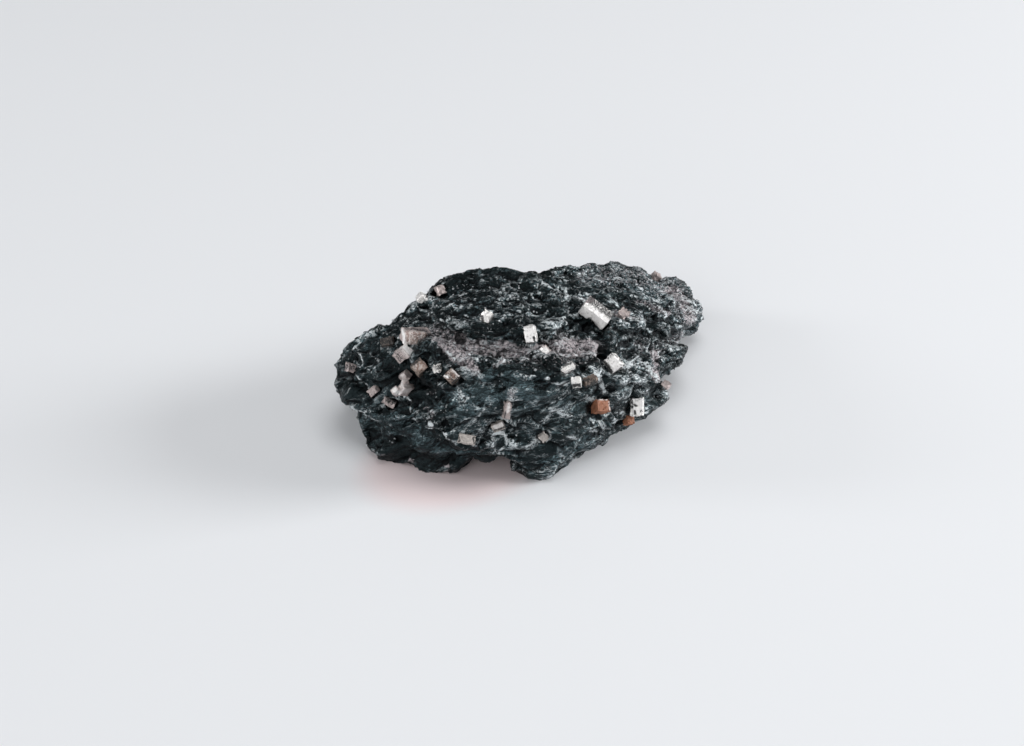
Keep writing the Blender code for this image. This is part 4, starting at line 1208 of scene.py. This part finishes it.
def floor_material(stage):
    """A plain pale table top, with a painted pinkish shade close to the stone."""
    paint = Paint("table_top")
    place = paint.node("ShaderNodeTexCoord", {}, {}, 3)
    offset = paint.vectors("SUBTRACT", place, tuple(stage.blush_middle))
    offset = paint.vectors("MULTIPLY", offset, (42.0, 62.0, 0.0))
    length = paint.node("ShaderNodeVectorMath", {"operation": "LENGTH"}, {0: offset}, 1)
    # painted shade: pinkish and darker close to the stone
    near = paint.between(length, 1.15, 0.7)
    paint.feed("Base Color", paint.mix(near, tuple(stage.floor), tuple(stage.blush)))
    paint.feed("Roughness", 0.6)
    return paint.material


# ---------------------------------------------------------------- operators
class STONE_OT_host_rock(bpy.types.Operator):
    """Remakes the host rock with the fine relief and the colours of schist"""

    bl_idname = "stone.host_rock"
    bl_label = "Host Rock"

    def execute(self, context):
        rock, stage = context.scene.stone_rock, context.scene.stone_stage
        piece = add_piece(mesh_of("schist_rock", merged_copy(HOST)), schist_material(rock))
        remesh(piece, rock.detail)
        shape_rock(rock, stage, piece.data)
        piece.data.shade_smooth()
        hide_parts(HOST)
        return {"FINISHED"}


class STONE_OT_scales(bpy.types.Operator):
    """Lays dark scales of schist over the host rock"""

    bl_idname = "stone.scales"
    bl_label = "Scales"

    def execute(self, context):
        grains = context.scene.stone_grains
        rock = bpy.data.objects["schist_rock"].data
        dice = np.random.default_rng(grains.seed)
        odds = off_crystals(rock) * (1.0 - 0.8 * read_attribute(rock, "front"))
        odds *= np.clip(1.0 - 1.2 * read_attribute(rock, "edge"), 0.0, 1.0)
        odds *= places_of(rock)[:, 2] > SCALES_FROM
        count, widths = grains.scales, grains.scale_size
        turns = {"length": 1.6, "along_layers": 0.0, "wobble": 0.05, "spin": 0.3}
        mesh, below, tone = sow("schist_scales", rock, flat_flake(0.12), count, odds, widths, dice, **turns)
        for kind in ("edge", "front", *COLOURING):
            add_attribute(mesh, kind, read_attribute(rock, kind)[below])
        add_attribute(mesh, "layers", places_of(mesh) * MM + tone[:, None] * 50.0)
        add_piece(mesh, bpy.data.materials["schist_leaves"])
        return {"FINISHED"}


class STONE_OT_mica_flakes(bpy.types.Operator):
    """Sows pale mica flakes over the host rock"""

    bl_idname = "stone.mica_flakes"
    bl_label = "Mica Flakes"

    def execute(self, context):
        grains = context.scene.stone_grains
        rock = bpy.data.objects["schist_rock"].data
        dice = np.random.default_rng(grains.seed + 1)
        clump = np.array([noise.noise(vertex.co / grains.clump) for vertex in rock.vertices])
        odds = np.clip(clump, 0.0, 1.0) * (1.0 - 0.9 * read_attribute(rock, "front"))
        odds += 1.5 * np.clip(read_attribute(rock, "pale"), 0.0, 1.0)
        odds += 0.5 * read_attribute(rock, "dust")
        odds *= off_crystals(rock) * (1.0 - 0.9 * read_attribute(rock, "dark"))
        odds *= places_of(rock)[:, 2] > SOWN_FROM
        count, widths = grains.flakes, grains.flake_size
        turns = {"length": 1.3, "along_layers": 0.1, "wobble": 0.18, "spin": 1.5}
        mesh, _, tone = sow("mica_flakes", rock, flat_flake(0.16), count, odds, widths, dice, **turns)
        add_attribute(mesh, "tone", tone)
        add_piece(mesh, mica_material(grains))
        return {"FINISHED"}


class STONE_OT_pyrite_grains(bpy.types.Operator):
    """Sows small pyrite grains over the host rock"""

    bl_idname = "stone.pyrite_grains"
    bl_label = "Pyrite Grains"

    def execute(self, context):
        grains = context.scene.stone_grains
        rock = bpy.data.objects["schist_rock"].data
        dice = np.random.default_rng(grains.seed + 2)
        odds = off_crystals(rock) * (1.1 - read_attribute(rock, "front"))
        odds *= 1.0 - 0.9 * read_attribute(rock, "dark")
        odds *= places_of(rock)[:, 2] > SOWN_FROM
        count, widths = grains.grains, grains.grain_size
        turns = {"length": 1.0, "along_layers": 0.0, "wobble": 0.2, "spin": 1.5}
        mesh, _, tone = sow("pyrite_grains", rock, small_cube(), count, odds, widths, dice, **turns)
        add_attribute(mesh, "tone", 0.4 + 0.6 * tone)
        add_piece(mesh, bpy.data.materials["mica_flakes"])
        return {"FINISHED"}


class STONE_OT_silver_crystals(bpy.types.Operator):
    """Remakes the bright crystals"""

    bl_idname = "stone.silver_crystals"
    bl_label = "Silver Crystals"

    def execute(self, context):
        make_crystals(context, "silver", metallic=0.7, roughness=0.2, tarnish=0.15, glitter=0.15, lean=0.9)
        return {"FINISHED"}


class STONE_OT_mauve_crystals(bpy.types.Operator):
    """Remakes the tarnished mauve crystals"""

    bl_idname = "stone.mauve_crystals"
    bl_label = "Mauve Crystals"

    def execute(self, context):
        make_crystals(context, "mauve", metallic=0.5, roughness=0.28, tarnish=0.6, glitter=0.4, lean=0.4)
        return {"FINISHED"}


class STONE_OT_brown_crystals(bpy.types.Operator):
    """Remakes the browned crystals"""

    bl_idname = "stone.brown_crystals"
    bl_label = "Brown Crystals"

    def execute(self, context):
        make_crystals(context, "brown", metallic=0.6, roughness=0.28, tarnish=0.8, glitter=0.6, lean=0.3)
        return {"FINISHED"}


class STONE_OT_tan_crystals(bpy.types.Operator):
    """Remakes the dull tan crystals"""

    bl_idname = "stone.tan_crystals"
    bl_label = "Tan Crystals"

    def execute(self, context):
        make_crystals(context, "tan", metallic=0.3, roughness=0.4, tarnish=0.5, glitter=0.25, lean=0.4)
        return {"FINISHED"}


class STONE_OT_rust_crystals(bpy.types.Operator):
    """Remakes the rusted crystals"""

    bl_idname = "stone.rust_crystals"
    bl_label = "Rust Crystals"

    def execute(self, context):
        make_crystals(context, "rust", metallic=0.1, roughness=0.5, tarnish=0.6, glitter=0.3, lean=0.4)
        return {"FINISHED"}


def add_lamp(name, stage, lamp, power):
    """A square lamp that faces the stone."""
    right, behind = level_axes(stage)
    way = right * lamp.direction[0] + behind * lamp.direction[1] + Vector((0.0, 0.0, lamp.direction[2]))
    data = bpy.data.lights.new(name, "AREA")
    data.size = lamp.size
    data.energy = power
    holder = bpy.data.objects.new(name, data)
    bpy.context.scene.collection.objects.link(holder)
    holder.location = way.normalized() * lamp.distance
    holder.rotation_euler = way.to_track_quat("Z", "Y").to_euler()


def add_camera(name, stage):
    """The main view's camera."""
    camera = bpy.data.cameras.new(name)
    camera.lens = stage.lens
    camera.sensor_width = stage.sensor
    camera.clip_start = 0.01
    holder = bpy.data.objects.new(name, camera)
    bpy.context.scene.collection.objects.link(holder)
    holder.location = camera_place(stage)
    holder.rotation_euler = Matrix(view_axes(stage)).transposed().to_euler()
    bpy.context.scene.camera = holder


class STONE_OT_stage(bpy.types.Operator):
    """Makes the floor, the light and the camera"""

    bl_idname = "stone.stage"
    bl_label = "Stage"

    def execute(self, context):
        stage = context.scene.stone_stage
        work = bmesh.new()
        bmesh.ops.create_grid(work, x_segments=1, y_segments=1, size=TABLE_SIZE)
        floor = bpy.data.objects.new("table", mesh_of("table", work))
        context.scene.collection.objects.link(floor)
        floor.data.materials.append(floor_material(stage))
        world = bpy.data.worlds.new("soft_room")
        world.use_nodes = True
        sky = world.node_tree.nodes["Background"]
        sky.inputs["Color"].default_value = SKY_COLOUR
        sky.inputs["Strength"].default_value = stage.sky
        context.scene.world = world
        for name, lamp in LAMPS.items():
            add_lamp(name + "_lamp", stage, lamp, getattr(stage, name + "_light"))
        add_camera("main_view", stage)
        context.scene.view_settings.view_transform = "Standard"
        return {"FINISHED"}


class STONE_PT_panel(bpy.types.Panel):
    """The stone's settings and the steps that make it"""

    bl_idname = "STONE_PT_panel"
    bl_label = "Schist Stone"
    bl_space_type = "VIEW_3D"
    bl_region_type = "UI"
    bl_category = "Stone"

    def draw(self, context):
        for name in SETTINGS:
            box = self.layout.box()
            group = getattr(context.scene, name)
            for prop in group.bl_rna.properties:
                if prop.identifier not in ("rna_type", "name"):
                    box.prop(group, prop.identifier)
        for operator in OPERATORS:
            self.layout.operator(operator.bl_idname)


SETTINGS = {
    "stone_rock": StoneRockSettings,
    "stone_crystals": StoneCrystalSettings,
    "stone_grains": StoneGrainSettings,
    "stone_stage": StoneStageSettings,
}
OPERATORS = (
    STONE_OT_stage,
    STONE_OT_host_rock,
    STONE_OT_scales,
    STONE_OT_mica_flakes,
    STONE_OT_pyrite_grains,
    STONE_OT_silver_crystals,
    STONE_OT_mauve_crystals,
    STONE_OT_brown_crystals,
    STONE_OT_tan_crystals,
    STONE_OT_rust_crystals,
)


def register():
    for group in (*SETTINGS.values(), *OPERATORS, STONE_PT_panel):
        bpy.utils.register_class(group)
    for name, group in SETTINGS.items():
        setattr(bpy.types.Scene, name, PointerProperty(type=group))


def unregister():
    for name in SETTINGS:
        delattr(bpy.types.Scene, name)
    for group in reversed((*SETTINGS.values(), *OPERATORS, STONE_PT_panel)):
        bpy.utils.unregister_class(group)


def main():
    register()
    for operator in OPERATORS:
        family, step = operator.bl_idname.split(".")
        getattr(getattr(bpy.ops, family), step)()


if __name__ == "__main__":
    main()
